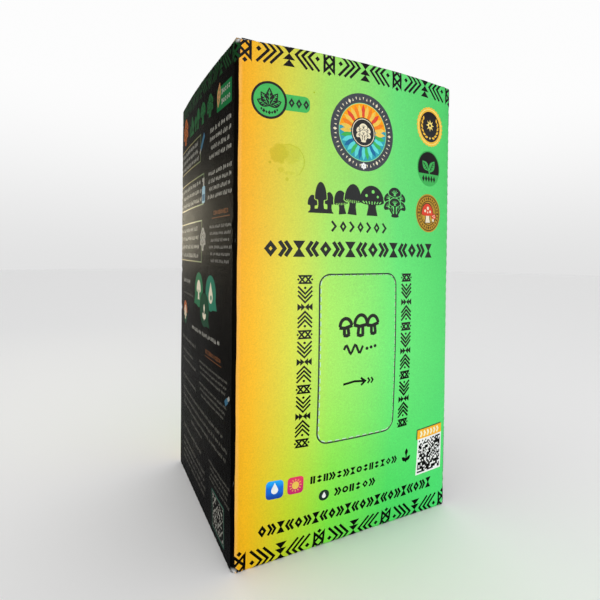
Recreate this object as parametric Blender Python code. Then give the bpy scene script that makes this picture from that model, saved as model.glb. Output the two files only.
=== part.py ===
"""Boxed mushroom grow kit: a printed folding carton with a perforated window panel, a hinged tuck lid
and a snap-lock bottom, holding a film bag of substrate grown through with mycelium.

Units are metres and +Z is up. The front wall faces -Y. The origin is the middle of the footprint, on
the surface that the carton stands on.
"""

import math

import bmesh
import bpy
from mathutils import Matrix, Vector

# Driving dimensions of the carton
WIDTH = 0.150
DEPTH = 0.150
WALL_HEIGHT = 0.2858
BOARD = 0.0015
FOLD_RADIUS = 0.003
TOUCH_GAP = 0.0003
CREASE_GAP = 0.00045
BOTTOM_ROUND = 0.0008

# How far the filled carton's walls bow out in their middle, at a quarter, at half and at full height
FRONT_BOW = (0.0096, 0.0112, 0.0070)
REAR_BOW = (0.0090, 0.0113, 0.0)
SIDE_BOW = (0.0022, 0.0030, 0.0020)

# Window in the front wall, across from the carton's middle and up from its base
WINDOW_LEFT = -0.0287
WINDOW_RIGHT = 0.0231
WINDOW_LOW = 0.0645
WINDOW_HIGH = 0.1607
WINDOW_CORNER = 0.0062

# Lid and its flaps
LID_SIDE_INSET = 0.0010
TUCK_CLEARANCE = 0.0005
TUCK_SIDE_INSET = 0.0035
TUCK_LENGTH = 0.028
TUCK_CORNER = 0.012
TUCK_LEAN = math.radians(8.0)
DUST_REACH = 0.060
DUST_END_INSET = 0.0025
DUST_REAR_TAPER = 0.026
DUST_REAR_KNEE = 0.027
DUST_REAR_KNEE_INSET = 0.021
DUST_FRONT_CLEAR = 0.0105
DUST_FRONT_TAPER = 0.010
DUST_FRONT_KNEE = 0.021

# Snap-lock bottom: reach of each flap from its wall, and the locking tongue
FRONT_FLAP_REACH = 0.070
REAR_FLAP_REACH = 0.084
SIDE_FLAP_REACH = 0.043
SIDE_FLAP_FRONT_TAPER = 0.018
SIDE_FLAP_FRONT_KNEE = 0.015
SIDE_FLAP_REAR_TAPER = 0.030
SIDE_FLAP_REAR_KNEE = 0.009
BOTTOM_END_INSET = 0.0030
FRONT_FLAP_NOSE = 0.030
FRONT_FLAP_SHOULDER = 0.056
FRONT_FLAP_SHOULDER_REACH = 0.050
FRONT_FLAP_KNEE = 0.028
REAR_FLAP_NOSE = 0.053
REAR_FLAP_KNEE = 0.050
TONGUE_HALF_WIDTH = 0.0115
TONGUE_RISE_RUN = 0.013
TONGUE_FLAT = 0.016
NOTCH_HALF_WIDTH = 0.0135
NOTCH_DEPTH = 0.026

# Substrate block and the film bag round it
FILM = 0.0004
BAG_HALF = 0.0712
BAG_SQUARENESS = 4.6
NECK_SQUARENESS = 2.0
BAG_SHOULDER = 0.205
BAG_NECK_HEIGHT = 0.2270
BAG_NECK_Y = -0.022
BAG_NECK_HALF_WIDTH = 0.066
BAG_NECK_HALF_THICK = 0.0012
BAG_BOTTOM_ROUND = 0.008
NECK_FOLD_RADIUS = 0.0040
NECK_RUN = 0.080
NECK_SLOPE = math.radians(8.0)
BLOCK_TOP_ROUND = 0.014
PATCH_SIDE = 0.050
PATCH_THICK = 0.0005

# Facets
WALL_STEPS = 10
FOLD_STEPS = 4
WALL_ROWS = 12
ARC_STEPS = 6
BAG_POINTS = 40
BASE_STEPS = 3
SHOULDER_STEPS = 6
RUN_STEPS = 4
BODY_STEPS = 3

HALF_SIZE = Vector((WIDTH / 2, DEPTH / 2))
WALL_NORMALS = [Vector((0, -1)), Vector((1, 0)), Vector((0, 1)), Vector((-1, 0))]
WALL_BOWS = [FRONT_BOW, SIDE_BOW, REAR_BOW, SIDE_BOW]
LID_HEIGHT = WALL_HEIGHT + CREASE_GAP + BOARD / 2
TUCK_AXIS_Y = -(DEPTH / 2 - BOARD - TUCK_CLEARANCE - BOARD / 2)
LAYER = BOARD + TOUCH_GAP
BAG_BASE = 4 * LAYER
NECK_SECTION = (BAG_NECK_HALF_WIDTH, BAG_NECK_HALF_THICK, NECK_SQUARENESS)


def clear_scene():
    for item in list(bpy.data.objects):
        bpy.data.objects.remove(item, do_unlink=True)


def material(name, colour, roughness, alpha=1.0):
    """A Principled material of one colour."""
    made = bpy.data.materials.new(name)
    made.use_nodes = True
    shader = made.node_tree.nodes["Principled BSDF"]
    shader.inputs["Base Color"].default_value = (*colour, 1.0)
    shader.inputs["Roughness"].default_value = roughness
    shader.inputs["Metallic"].default_value = 0.0
    shader.inputs["Alpha"].default_value = alpha
    made.diffuse_color = (*colour, alpha)
    return made


def add_object(name, mesh, finish, parent, location=(0, 0, 0), rotation=(0, 0, 0)):
    """Put a mesh in the scene as one named piece with one material."""
    piece = bpy.data.objects.new(name, mesh)
    bpy.context.scene.collection.objects.link(piece)
    if finish is not None:
        mesh.materials.append(finish)
    piece.parent = parent
    piece.location = location
    piece.rotation_euler = rotation
    return piece


def mesh_from(name, points, faces):
    mesh = bpy.data.meshes.new(name)
    mesh.from_pydata([tuple(point) for point in points], [], faces)
    mesh.update()
    return mesh


def join_rings(rings, closed_path=False, cap_start=False, cap_end=False):
    """Faces between rings of equal length; rings run anticlockwise seen from the path's end."""
    count = len(rings[0])
    faces = []
    last = len(rings) if closed_path else len(rings) - 1
    for step in range(last):
        low = step * count
        high = ((step + 1) % len(rings)) * count
        for i in range(count):
            j = (i + 1) % count
            faces.append((low + i, low + j, high + j, high + i))
    if cap_start:
        faces.append(tuple(reversed(range(count))))
    if cap_end:
        start = (len(rings) - 1) * count
        faces.append(tuple(range(start, start + count)))
    return faces


def bow_at(bow, height):
    """How far a wall's middle bows out at a height: the cubic through its four named places."""
    share = height / WALL_HEIGHT
    places = [0.0, 0.25, 0.5, 1.0]
    values = [0.0, *bow]
    total = 0.0
    for i, value in enumerate(values):
        term = value
        for j, place in enumerate(places):
            if j != i:
                term *= (share - place) / (places[i] - place)
        total += term
    return total


def bowed(point, normal, height):
    """Push an outline point out by the bow of the walls that it faces."""
    moved = point.copy()
    for k, wall_normal in enumerate(WALL_NORMALS):
        facing = max(0.0, normal.dot(wall_normal)) ** 2
        along = WALL_NORMALS[(k + 1) % 4]
        half = abs(along.x) * HALF_SIZE.x + abs(along.y) * HALF_SIZE.y
        across = 0.5 + point.dot(along) / (2 * half)
        moved += wall_normal * (facing * 4 * across * (1 - across) * bow_at(WALL_BOWS[k], height))
    return moved


def sleeve_ring(height, inset):
    """The sleeve's outline at one height: inset 0 is the printed face, BOARD the inner face."""
    ring = []
    radius = FOLD_RADIUS - inset
    straight = HALF_SIZE - Vector((FOLD_RADIUS, FOLD_RADIUS))
    for k, normal in enumerate(WALL_NORMALS):
        along = WALL_NORMALS[(k + 1) % 4]
        for step in range(WALL_STEPS + 1):
            share = 2 * step / WALL_STEPS - 1
            corner = normal + along * share
            point = Vector((corner.x * straight.x, corner.y * straight.y)) + normal * radius
            ring.append((*bowed(point, normal, height), height))
        centre = normal + along
        centre = Vector((centre.x * straight.x, centre.y * straight.y))
        for step in range(1, FOLD_STEPS):
            turn = math.pi / 2 * step / FOLD_STEPS
            facing = normal * math.cos(turn) + along * math.sin(turn)
            ring.append((*bowed(centre + facing * radius, facing, height), height))
    return ring


def sleeve_mesh():
    """The tube of four walls: printed face up, then inner face down, joined at both rims."""
    heights = [WALL_HEIGHT * row / WALL_ROWS for row in range(WALL_ROWS + 1)]
    outer = [sleeve_ring(0.0, BOTTOM_ROUND), sleeve_ring(BOTTOM_ROUND, 0.0)]
    outer += [sleeve_ring(height, 0.0) for height in heights[1:]]
    inner = [sleeve_ring(height, BOARD) for height in reversed(heights)]
    rings = outer + inner
    points = [point for ring in rings for point in ring]
    return mesh_from("carton_walls", points, join_rings(rings, closed_path=True))


def rounded_rectangle(left, right, low, high, radius):
    """Corner arcs of a rectangle, anticlockwise from its lower right corner."""
    centres = [(right - radius, low + radius), (right - radius, high - radius)]
    centres += [(left + radius, high - radius), (left + radius, low + radius)]
    outline = []
    for quarter, (x, y) in enumerate(centres):
        for step in range(ARC_STEPS + 1):
            turn = math.pi / 2 * (quarter - 1 + step / ARC_STEPS)
            outline.append((x + radius * math.cos(turn), y + radius * math.sin(turn)))
    return outline


def window_prism(name, inset, parent):
    """A hidden tool shaped like the window, through the front wall alone."""
    outline = rounded_rectangle(
        WINDOW_LEFT + inset, WINDOW_RIGHT - inset, WINDOW_LOW + inset, WINDOW_HIGH - inset,
        WINDOW_CORNER - inset,
    )
    near = -DEPTH
    far = -DEPTH / 4
    points = [(x, y, z) for y in (far, near) for x, z in outline]
    faces = join_rings([outline, outline], cap_start=True, cap_end=True)
    tool = add_object(name, mesh_from(name, points, faces), None, parent)
    tool.hide_render = True
    tool.display_type = "WIRE"
    return tool


def boolean(piece, operation, tool):
    modifier = piece.modifiers.new(operation.title(), "BOOLEAN")
    modifier.operation = operation
    modifier.solver = "EXACT"
    modifier.object = tool


def board_panel_mesh(name, outline):
    """A sheet of board in the local XY plane. Its crease edge lies at y = BOARD / 2 and is rounded
    about the local X axis, and the sheet runs towards -Y from there."""
    shape = bmesh.new()
    corners = [shape.verts.new((x, y, -BOARD / 2)) for x, y in outline]
    sheet = shape.faces.new(corners)
    grown = bmesh.ops.extrude_face_region(shape, geom=[sheet])
    lifted = [item for item in grown["geom"] if isinstance(item, bmesh.types.BMVert)]
    bmesh.ops.translate(shape, verts=lifted, vec=(0, 0, BOARD))
    bmesh.ops.recalc_face_normals(shape, faces=shape.faces)
    crease = [edge for edge in shape.edges if is_crease(edge)]
    bmesh.ops.bevel(
        shape, geom=crease, offset=BOARD * 0.48, offset_type="OFFSET", segments=3, profile=0.5,
        affect="EDGES",
    )
    mesh = bpy.data.meshes.new(name)
    shape.to_mesh(mesh)
    shape.free()
    return mesh


def is_crease(edge):
    """True for the long edges of the face at y = BOARD / 2."""
    first, second = (vertex.co for vertex in edge.verts)
    on_face = abs(first.y - BOARD / 2) < TOUCH_GAP / 10 and abs(second.y - BOARD / 2) < TOUCH_GAP / 10
    return on_face and abs(first.z - second.z) < TOUCH_GAP / 10


def corner_arc(x, y, radius, start, end):
    """Points of an arc about a centre, between two angles in degrees."""
    points = []
    for step in range(ARC_STEPS + 1):
        turn = math.radians(start + (end - start) * step / ARC_STEPS)
        points.append((x + radius * math.cos(turn), y + radius * math.sin(turn)))
    return points


def make_sleeve(parent, finish):
    sleeve = add_object("carton_sleeve", sleeve_mesh(), finish, parent)
    boolean(sleeve, "DIFFERENCE", window_prism("window_cutter", 0.0, parent))
    panel = add_object("window_panel", sleeve_mesh(), finish, parent)
    boolean(panel, "INTERSECT", window_prism("window_keeper", TOUCH_GAP, parent))


def make_lid(parent, finish):
    """The top panel, its crease along the rear wall's top edge, and the tuck flap on its front."""
    axis_y = DEPTH / 2 - BOARD / 2
    half = WIDTH / 2 - LID_SIDE_INSET
    reach = axis_y - (TUCK_AXIS_Y + BOARD / 2 + CREASE_GAP)
    outline = [(-half, -reach), (half, -reach), (half, BOARD / 2), (-half, BOARD / 2)]
    lid = add_object(
        "lid", board_panel_mesh("lid", outline), finish, parent, location=(0, axis_y, LID_HEIGHT)
    )
    half = WIDTH / 2 - TUCK_SIDE_INSET
    low = TUCK_CORNER - TUCK_LENGTH
    outline = corner_arc(TUCK_CORNER - half, low, TUCK_CORNER, 180, 270)
    outline += corner_arc(half - TUCK_CORNER, low, TUCK_CORNER, 270, 360)
    outline += [(half, BOARD / 2), (-half, BOARD / 2)]
    add_object(
        "tuck_flap", board_panel_mesh("tuck_flap", outline), finish, lid,
        location=(0, TUCK_AXIS_Y - axis_y, 0), rotation=(math.pi / 2 + TUCK_LEAN, 0, 0),
    )


def make_dust_flap(side, name, parent, finish):
    """One dust flap, creased just inside a side wall's top. side is -1 on the left, 1 on the right.
    Its local X runs along the crease, and it tapers towards the lid's crease, so that it can rise
    while the lid does."""
    rear = DEPTH / 2 - BOARD - DUST_END_INSET
    front = DUST_FRONT_CLEAR - DEPTH / 2
    outline = [
        (front + DUST_FRONT_TAPER, -DUST_REACH),
        (rear - DUST_REAR_TAPER, -DUST_REACH),
        (rear - DUST_REAR_KNEE_INSET, -DUST_REAR_KNEE),
        (rear, -BOARD),
        (rear, BOARD / 2),
        (front, BOARD / 2),
        (front, -DUST_FRONT_KNEE),
    ]
    if side < 0:
        turn = math.pi / 2
    else:
        turn = -math.pi / 2
        outline = [(-along, out) for along, out in reversed(outline)]
    axis_x = side * (WIDTH / 2 - BOARD - CREASE_GAP - BOARD / 2)
    add_object(
        name, board_panel_mesh(name, outline), finish, parent,
        location=(axis_x, 0, WALL_HEIGHT - BOARD / 2), rotation=(0, 0, turn),
    )


def make_bottom_side_flap(side, name, parent, finish):
    """A side flap of the snap-lock bottom, in the middle layer."""
    half = DEPTH / 2 - BOARD - BOTTOM_END_INSET
    outline = [
        (SIDE_FLAP_FRONT_TAPER - half, -SIDE_FLAP_REACH),
        (half - SIDE_FLAP_REAR_TAPER, -SIDE_FLAP_REACH),
        (half, -SIDE_FLAP_REAR_KNEE),
        (half, BOARD / 2),
        (-half, BOARD / 2),
        (-half, -SIDE_FLAP_FRONT_KNEE),
    ]
    if side < 0:
        turn = math.pi / 2
    else:
        turn = -math.pi / 2
        outline = [(-along, out) for along, out in reversed(outline)]
    axis_x = side * (WIDTH / 2 - BOARD - CREASE_GAP - BOARD / 2)
    add_object(
        name, board_panel_mesh(name, outline), finish, parent,
        location=(axis_x, 0, LAYER + BOARD / 2), rotation=(0, 0, turn),
    )


def make_bottom_rear_flap(parent, finish):
    """The first flap to be folded, in the top layer, with the notch that takes the tongue."""
    half = WIDTH / 2 - BOARD - BOTTOM_END_INSET
    outline = [
        (-REAR_FLAP_NOSE, -REAR_FLAP_REACH),
        (-NOTCH_HALF_WIDTH, -REAR_FLAP_REACH),
        (-NOTCH_HALF_WIDTH, NOTCH_DEPTH - REAR_FLAP_REACH),
        (NOTCH_HALF_WIDTH, NOTCH_DEPTH - REAR_FLAP_REACH),
        (NOTCH_HALF_WIDTH, -REAR_FLAP_REACH),
        (REAR_FLAP_NOSE, -REAR_FLAP_REACH),
        (half, -REAR_FLAP_KNEE),
        (half, BOARD / 2),
        (-half, BOARD / 2),
        (-half, -REAR_FLAP_KNEE),
    ]
    axis_y = DEPTH / 2 - BOARD - CREASE_GAP - BOARD / 2
    add_object(
        "bottom_flap_rear", board_panel_mesh("bottom_flap_rear", outline), finish, parent,
        location=(0, axis_y, 2 * LAYER + BOARD / 2),
    )


def tongue_mesh():
    """The locking tongue: a bent strip from the front flap, up through the notch and flat on the rear
    flap. Its section is drawn in YZ, local to the front flap, and runs across X."""
    start = FRONT_FLAP_REACH - TONGUE_RISE_RUN
    low = [(start, -BOARD / 2), (FRONT_FLAP_REACH, -BOARD / 2)]
    low += [(FRONT_FLAP_REACH + TONGUE_RISE_RUN, 3 * LAYER - BOARD / 2)]
    low += [(FRONT_FLAP_REACH + TONGUE_RISE_RUN + TONGUE_FLAT, 3 * LAYER - BOARD / 2)]
    section = low + [(y, z + BOARD) for y, z in reversed(low)]
    points = []
    for x in (TONGUE_HALF_WIDTH, -TONGUE_HALF_WIDTH):
        points += [(x, -y, z) for y, z in section]
    rings = [section, section]
    return mesh_from("bottom_tongue", points, join_rings(rings, cap_start=True, cap_end=True))


def make_bottom_front_flap(parent, finish):
    """The last flap to be folded, in the bottom layer. Local -Y points to the carton's rear here."""
    half = WIDTH / 2 - BOARD - BOTTOM_END_INSET
    outline = [
        (-FRONT_FLAP_NOSE, -FRONT_FLAP_REACH),
        (FRONT_FLAP_NOSE, -FRONT_FLAP_REACH),
        (FRONT_FLAP_SHOULDER, -FRONT_FLAP_SHOULDER_REACH),
        (half, -FRONT_FLAP_KNEE),
        (half, BOARD / 2),
        (-half, BOARD / 2),
        (-half, -FRONT_FLAP_KNEE),
        (-FRONT_FLAP_SHOULDER, -FRONT_FLAP_SHOULDER_REACH),
    ]
    axis_y = -(DEPTH / 2 - BOARD - CREASE_GAP - BOARD / 2)
    flap = add_object(
        "bottom_flap_front", board_panel_mesh("bottom_flap_front", outline), finish, parent,
        location=(0, axis_y, BOARD / 2), rotation=(0, 0, math.pi),
    )
    tongue = add_object("tongue_shape", tongue_mesh(), None, flap)
    tongue.hide_render = True
    tongue.display_type = "WIRE"
    boolean(flap, "UNION", tongue)


def soft_square(centre, half_width, half_depth, squareness, lean=0.0):
    """A ring with rounded corners about a centre. Its depth direction leans down by an angle as the
    bag's neck turns from upright to level."""
    ring = []
    for i in range(BAG_POINTS):
        turn = 2 * math.pi * (i + 0.5) / BAG_POINTS
        cosine = math.cos(turn)
        sine = math.sin(turn)
        across = half_width * math.copysign(abs(cosine) ** (1 / squareness), cosine)
        deep = half_depth * math.copysign(abs(sine) ** (1 / squareness), sine)
        ring.append(centre + Vector((across, deep * math.cos(lean), -deep * math.sin(lean))))
    return ring


def ease(share):
    return share * share * (3 - 2 * share)


def round_base(low, half):
    """Sections of a square body's rounded lower edge, each as centre, half width and half depth."""
    sections = []
    for step in range(BASE_STEPS):
        turn = math.pi / 2 * step / (BASE_STEPS - 1)
        size = half - BAG_BOTTOM_ROUND * (1 - math.sin(turn))
        height = low + BAG_BOTTOM_ROUND * (1 - math.cos(turn))
        sections.append((Vector((0, 0, height)), size, size, BAG_SQUARENESS))
    return sections


def bag_stations():
    """The bag's cross-sections from its base to its open mouth, as centre, half width, half depth,
    squareness and lean. It stands round the block, closes over it, then folds flat to the rear."""
    stations = [(*section, 0.0) for section in round_base(BAG_BASE, BAG_HALF)]
    low = BAG_BASE + BAG_BOTTOM_ROUND
    for step in range(1, BODY_STEPS + 1):
        height = low + (BAG_SHOULDER - low) * step / BODY_STEPS
        stations.append((Vector((0, 0, height)), BAG_HALF, BAG_HALF, BAG_SQUARENESS, 0.0))
    for step in range(1, SHOULDER_STEPS + 1):
        share = step / SHOULDER_STEPS
        closing = ease(share)
        centre = Vector((0, BAG_NECK_Y * closing, 0))
        centre.z = BAG_SHOULDER + (BAG_NECK_HEIGHT - BAG_SHOULDER) * math.sin(share * math.pi / 2)
        half_width = BAG_HALF + (BAG_NECK_HALF_WIDTH - BAG_HALF) * closing
        half_depth = BAG_HALF + (BAG_NECK_HALF_THICK - BAG_HALF) * closing
        squareness = BAG_SQUARENESS + (NECK_SQUARENESS - BAG_SQUARENESS) * closing
        stations.append((centre, half_width, half_depth, squareness, 0.0))
    pivot = Vector((0, BAG_NECK_Y + NECK_FOLD_RADIUS, BAG_NECK_HEIGHT))
    final = math.pi / 2 + NECK_SLOPE
    for step in range(1, ARC_STEPS + 1):
        lean = final * step / ARC_STEPS
        centre = pivot + Vector((0, -math.cos(lean), math.sin(lean))) * NECK_FOLD_RADIUS
        stations.append((centre, *NECK_SECTION, lean))
    start = stations[-1][0]
    direction = Vector((0, math.sin(final), math.cos(final)))
    for step in range(1, RUN_STEPS + 1):
        centre = start + direction * (NECK_RUN * step / RUN_STEPS)
        stations.append((centre, *NECK_SECTION, final))
    return stations


def bag_mesh():
    """The film: outer face from base to mouth, then inner face back down."""
    stations = bag_stations()
    outer = [soft_square(*station) for station in stations]
    inner = []
    for i, (centre, half_width, half_depth, squareness, lean) in enumerate(stations):
        rise = FILM if i < BASE_STEPS else 0.0
        raised = centre + Vector((0, 0, rise))
        inner.append(soft_square(raised, half_width - FILM, half_depth - FILM, squareness, lean))
    rings = outer + inner[::-1]
    points = [point for ring in rings for point in ring]
    return mesh_from("grow_bag", points, join_rings(rings, cap_start=True, cap_end=True))


def block_mesh():
    """The substrate block: the bag's inner form, less a touching gap, with a rounded top."""
    half = BAG_HALF - FILM - TOUCH_GAP
    low = BAG_BASE + FILM + TOUCH_GAP
    rings = [soft_square(*section) for section in round_base(low, half)]
    straight_low = low + BAG_BOTTOM_ROUND
    straight_top = BAG_SHOULDER - TOUCH_GAP - BLOCK_TOP_ROUND
    for step in range(1, BODY_STEPS + 1):
        height = straight_low + (straight_top - straight_low) * step / BODY_STEPS
        rings.append(soft_square(Vector((0, 0, height)), half, half, BAG_SQUARENESS))
    for step in range(1, ARC_STEPS + 1):
        turn = math.pi / 2 * step / ARC_STEPS
        size = half - BLOCK_TOP_ROUND * (1 - math.cos(turn))
        height = straight_top + BLOCK_TOP_ROUND * math.sin(turn)
        rings.append(soft_square(Vector((0, 0, height)), size, size, BAG_SQUARENESS))
    points = [point for ring in rings for point in ring]
    return mesh_from("substrate_block", points, join_rings(rings, cap_start=True, cap_end=True))


def make_patch(parent, finish):
    """The breathing patch, lying on the middle of the folded neck."""
    neck_end = bag_stations()[-1][0]
    back = NECK_RUN / 2
    away = BAG_NECK_HALF_THICK + TOUCH_GAP + PATCH_THICK / 2
    middle = neck_end + Vector((0, -back * math.cos(NECK_SLOPE), back * math.sin(NECK_SLOPE)))
    middle += Vector((0, math.sin(NECK_SLOPE), math.cos(NECK_SLOPE))) * away
    shape = bmesh.new()
    bmesh.ops.create_cube(shape, size=1.0)
    bmesh.ops.transform(
        shape, matrix=Matrix.Diagonal((PATCH_SIDE, PATCH_SIDE, PATCH_THICK, 1.0)), verts=shape.verts
    )
    mesh = bpy.data.meshes.new("filter_patch")
    shape.to_mesh(mesh)
    shape.free()
    add_object("filter_patch", mesh, finish, parent, location=middle, rotation=(-NECK_SLOPE, 0, 0))


def main():
    clear_scene()
    kit = bpy.data.objects.new("grow_kit", None)
    bpy.context.scene.collection.objects.link(kit)
    printed = material("printed_board", (0.55, 0.75, 0.20), 0.45)
    plain = material("plain_board", (0.62, 0.50, 0.36), 0.85)
    dark = material("dark_board", (0.03, 0.03, 0.03), 0.45)
    mycelium = material("mycelium", (0.86, 0.83, 0.76), 0.9)
    film = material("bag_film", (0.80, 0.82, 0.82), 0.25, alpha=0.35)
    filter_paper = material("filter_paper", (0.90, 0.90, 0.88), 0.8)
    make_sleeve(kit, printed)
    make_lid(kit, dark)
    make_dust_flap(-1, "dust_flap_left", kit, dark)
    make_dust_flap(1, "dust_flap_right", kit, dark)
    make_bottom_front_flap(kit, plain)
    make_bottom_rear_flap(kit, plain)
    make_bottom_side_flap(-1, "bottom_flap_left", kit, plain)
    make_bottom_side_flap(1, "bottom_flap_right", kit, plain)
    add_object("substrate_block", block_mesh(), mycelium, kit)
    add_object("grow_bag", bag_mesh(), film, kit)
    make_patch(kit, filter_paper)


main()
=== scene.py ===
"""Looks of the boxed mushroom grow kit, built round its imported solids.

Lengths in the carton's own maths are millimetres, and MM turns them into metres at the end. A place on
a wall is (across, up): across runs to the right seen from outside, from the wall's middle.
"""

import math
import random

import bmesh
import bpy
import numpy as np
from mathutils import Matrix, Vector, noise
from mathutils.geometry import delaunay_2d_cdt


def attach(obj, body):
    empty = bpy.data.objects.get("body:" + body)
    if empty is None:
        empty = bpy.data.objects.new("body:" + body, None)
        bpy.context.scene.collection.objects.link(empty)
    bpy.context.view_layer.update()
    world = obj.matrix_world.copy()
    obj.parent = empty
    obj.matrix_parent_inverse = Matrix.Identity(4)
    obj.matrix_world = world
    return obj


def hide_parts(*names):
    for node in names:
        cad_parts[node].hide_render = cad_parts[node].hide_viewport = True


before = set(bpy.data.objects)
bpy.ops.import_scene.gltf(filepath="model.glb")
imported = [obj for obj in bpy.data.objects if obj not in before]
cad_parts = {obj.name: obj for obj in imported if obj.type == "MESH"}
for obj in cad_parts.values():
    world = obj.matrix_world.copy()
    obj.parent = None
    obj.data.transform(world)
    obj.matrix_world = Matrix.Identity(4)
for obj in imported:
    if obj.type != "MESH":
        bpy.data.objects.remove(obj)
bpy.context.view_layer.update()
MM = 0.001

# ---------------------------------------------------------------- the carton's developed surface
HALF = 75.0
FOLD = 3.0
FLAT = HALF - FOLD
PITCH = 2 * FLAT + FOLD * math.pi / 2
WALL = 285.8
BOARD = 1.5
BASE_R = 0.8
BASE_ARC = BASE_R * math.pi / 2
RIM_R = 0.5
LIFT = BASE_ARC - BASE_R
V_RIM = WALL - RIM_R + LIFT
V_TOP = V_RIM + RIM_R * math.pi / 2
FRONT, RIGHT, REAR, LEFT = 0, 1, 2, -1
NORMALS = np.array([(0, -1), (1, 0), (0, 1), (-1, 0)], float)
BOW_PLACES = (0.0, 0.25, 0.5, 1.0)
BOWS = [(9.6, 11.2, 7.0), (2.2, 3.0, 2.0), (9.0, 11.3, 0.0), (2.2, 3.0, 2.0)]
# The board's soft waves: how high, how long, how they follow the height, and the noise's seed
WAVES = ((0.16, 41.0, 1.0, 3.7), (0.05, 9.0, 0.5, 8.1))
WAVE_FADE = 18.0
# Its dents: place round the carton, height, radius and depth
DENTS = [(-73.6, 206.0, 2.4, 0.28), (-72.8, 121.0, 2.0, 0.15), (-73.4, 58.0, 2.8, 0.18)]
DENTS += [(71.8, 182.0, 3.0, 0.15)]


def bow_at(bow, z):
    """How far a wall's middle stands out at a height: the cubic through base, quarter, half and top."""
    share = z / WALL
    total = 0.0
    for i, value in enumerate((0.0, *bow)):
        term = value
        for j, place in enumerate(BOW_PLACES):
            if j != i:
                term = term * (share - place) / (BOW_PLACES[i] - place)
        total = total + term
    return total


def rough_field(x, y, z, size, seed):
    """Smooth noise from -1 to 1 at each point."""
    spots = zip(x / size + seed, y / size - seed, z / size + 2 * seed)
    return np.array([noise.noise(Vector(spot)) for spot in spots])


def dents(t, z):
    """Small uneven places of the filled board, out of the wall in mm."""
    waves = [high * rough_field(t, 0 * t, z * follow, size, seed) for high, size, follow, seed in WAVES]
    wave = sum(waves) * (np.clip((WALL - z) / WAVE_FADE, 0, 1) * np.clip(z / WAVE_FADE, 0, 1))
    for at, up, size, depth in DENTS:
        wave = wave - depth * np.exp(-(((t - at) / size) ** 2) - ((z - up) / size) ** 2)
    return wave


def sleeve(t, v, inset=0.0):
    """Points of the carton's skin. t runs round the carton, v up the board, inset goes into the board."""
    t, v = np.asarray(t, float), np.asarray(v, float)
    k = np.round(t / PITCH).astype(int)
    across = t - k * PITCH
    turn = np.maximum(np.abs(across) - FLAT, 0) / FOLD
    low = np.clip(v / BASE_R, 0, math.pi / 2)
    high = np.clip((v - V_RIM) / RIM_R, 0, math.pi / 2)
    z = np.where(v < BASE_ARC, BASE_R * (1 - np.cos(low)), v - LIFT)
    z = np.where(v > V_RIM, WALL - RIM_R + RIM_R * np.sin(high), z)
    shrink = BASE_R * (1 - np.sin(low)) * (v < BASE_ARC) + RIM_R * (1 - np.cos(high)) * (v > V_RIM)
    if inset > 0:
        z = np.clip(v / V_TOP, 0, 1) * WALL
        shrink = 0 * z
    radius = FOLD - inset - shrink
    normal, along = NORMALS[k % 4], NORMALS[(k + 1) % 4]
    facing = normal * np.cos(turn)[:, None] + along * (np.sign(across) * np.sin(turn))[:, None]
    flat = along * np.clip(across, -FLAT, FLAT)[:, None] + normal * FLAT
    point = flat + facing * radius[:, None]
    placed = point + facing * dents(t, z)[:, None]
    for j, way in enumerate(NORMALS):
        share = np.maximum(0, facing @ way) ** 2
        over = 0.5 + (point @ NORMALS[(j + 1) % 4]) / (2 * HALF)
        push = share * 4 * over * (1 - over) * bow_at(BOWS[j], z)
        placed = placed + way * push[:, None]
    return np.column_stack([placed, z])


def surface_normals(place, t, v, step=0.02):
    """Unit normals of a mapped surface, by small steps in its two directions."""
    out = np.cross(place(t + step, v) - place(t - step, v), place(t, v + step) - place(t, v - step))
    return out / np.maximum(np.linalg.norm(out, axis=1), 1e-12)[:, None]


# ---------------------------------------------------------------- flat shapes of the print
# A shape is an ink's name and an outline. These calls return lists of shapes, the lowest first.
def sides(points):
    """Each point of a closed outline with the next one."""
    return zip(points, points[1:] + points[:1])


def area(points):
    return sum(x0 * y1 - x1 * y0 for (x0, y0), (x1, y1) in sides(points)) / 2


def moved(shapes, x=0.0, z=0.0, turn=0.0, tall=1.0, scale=1.0):
    """Shapes scaled, turned by degrees, stretched upwards and put at a place."""
    c, s = math.cos(math.radians(turn)), math.sin(math.radians(turn))

    def placed(a, b):
        a, b = a * scale, b * scale
        return x + a * c - b * s, z + (a * s + b * c) * tall

    return [(ink, [placed(*point) for point in points]) for ink, points in shapes]


def polar(x, z, radius, turn, tall=1.0):
    return x + radius * math.cos(turn), z + radius * math.sin(turn) * tall


def blob(ink, radii, start=0.0, x=0.0, z=0.0):
    """A closed outline from a list of radii round a centre."""
    turns = [math.radians(start) + 2 * math.pi * i / len(radii) for i in range(len(radii))]
    return [(ink, [polar(x, z, radius, turn) for radius, turn in zip(radii, turns)])]


def disc(ink, radius, x=0.0, z=0.0, count=36):
    return blob(ink, [radius] * count, x=x, z=z)


def diamond(ink, half, x=0.0, z=0.0, tall=1.0):
    return [(ink, [(x + half, z), (x, z + half * tall), (x - half, z), (x, z - half * tall)])]


def box(left, right, low, high, radius=0.0, steps=5):
    """A rectangle's outline, with rounded corners where radius is given."""
    if radius == 0:
        return [(left, low), (right, low), (right, high), (left, high)]
    points = []
    left, right, low, high = left + radius, right - radius, low + radius, high - radius
    for quarter, (x, z) in enumerate(((right, low), (right, high), (left, high), (left, low))):
        points += [polar(x, z, radius, math.pi / 2 * (quarter - 1 + n / steps)) for n in range(steps + 1)]
    return points


def panel(ink, *edges):
    return [(ink, box(*edges))]


def pierced(ink, void, half, hole, x, z, tall):
    """A diamond with a smaller one left out of its middle."""
    return diamond(ink, half, x, z, tall) + diamond(void, hole, x, z, tall)


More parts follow.
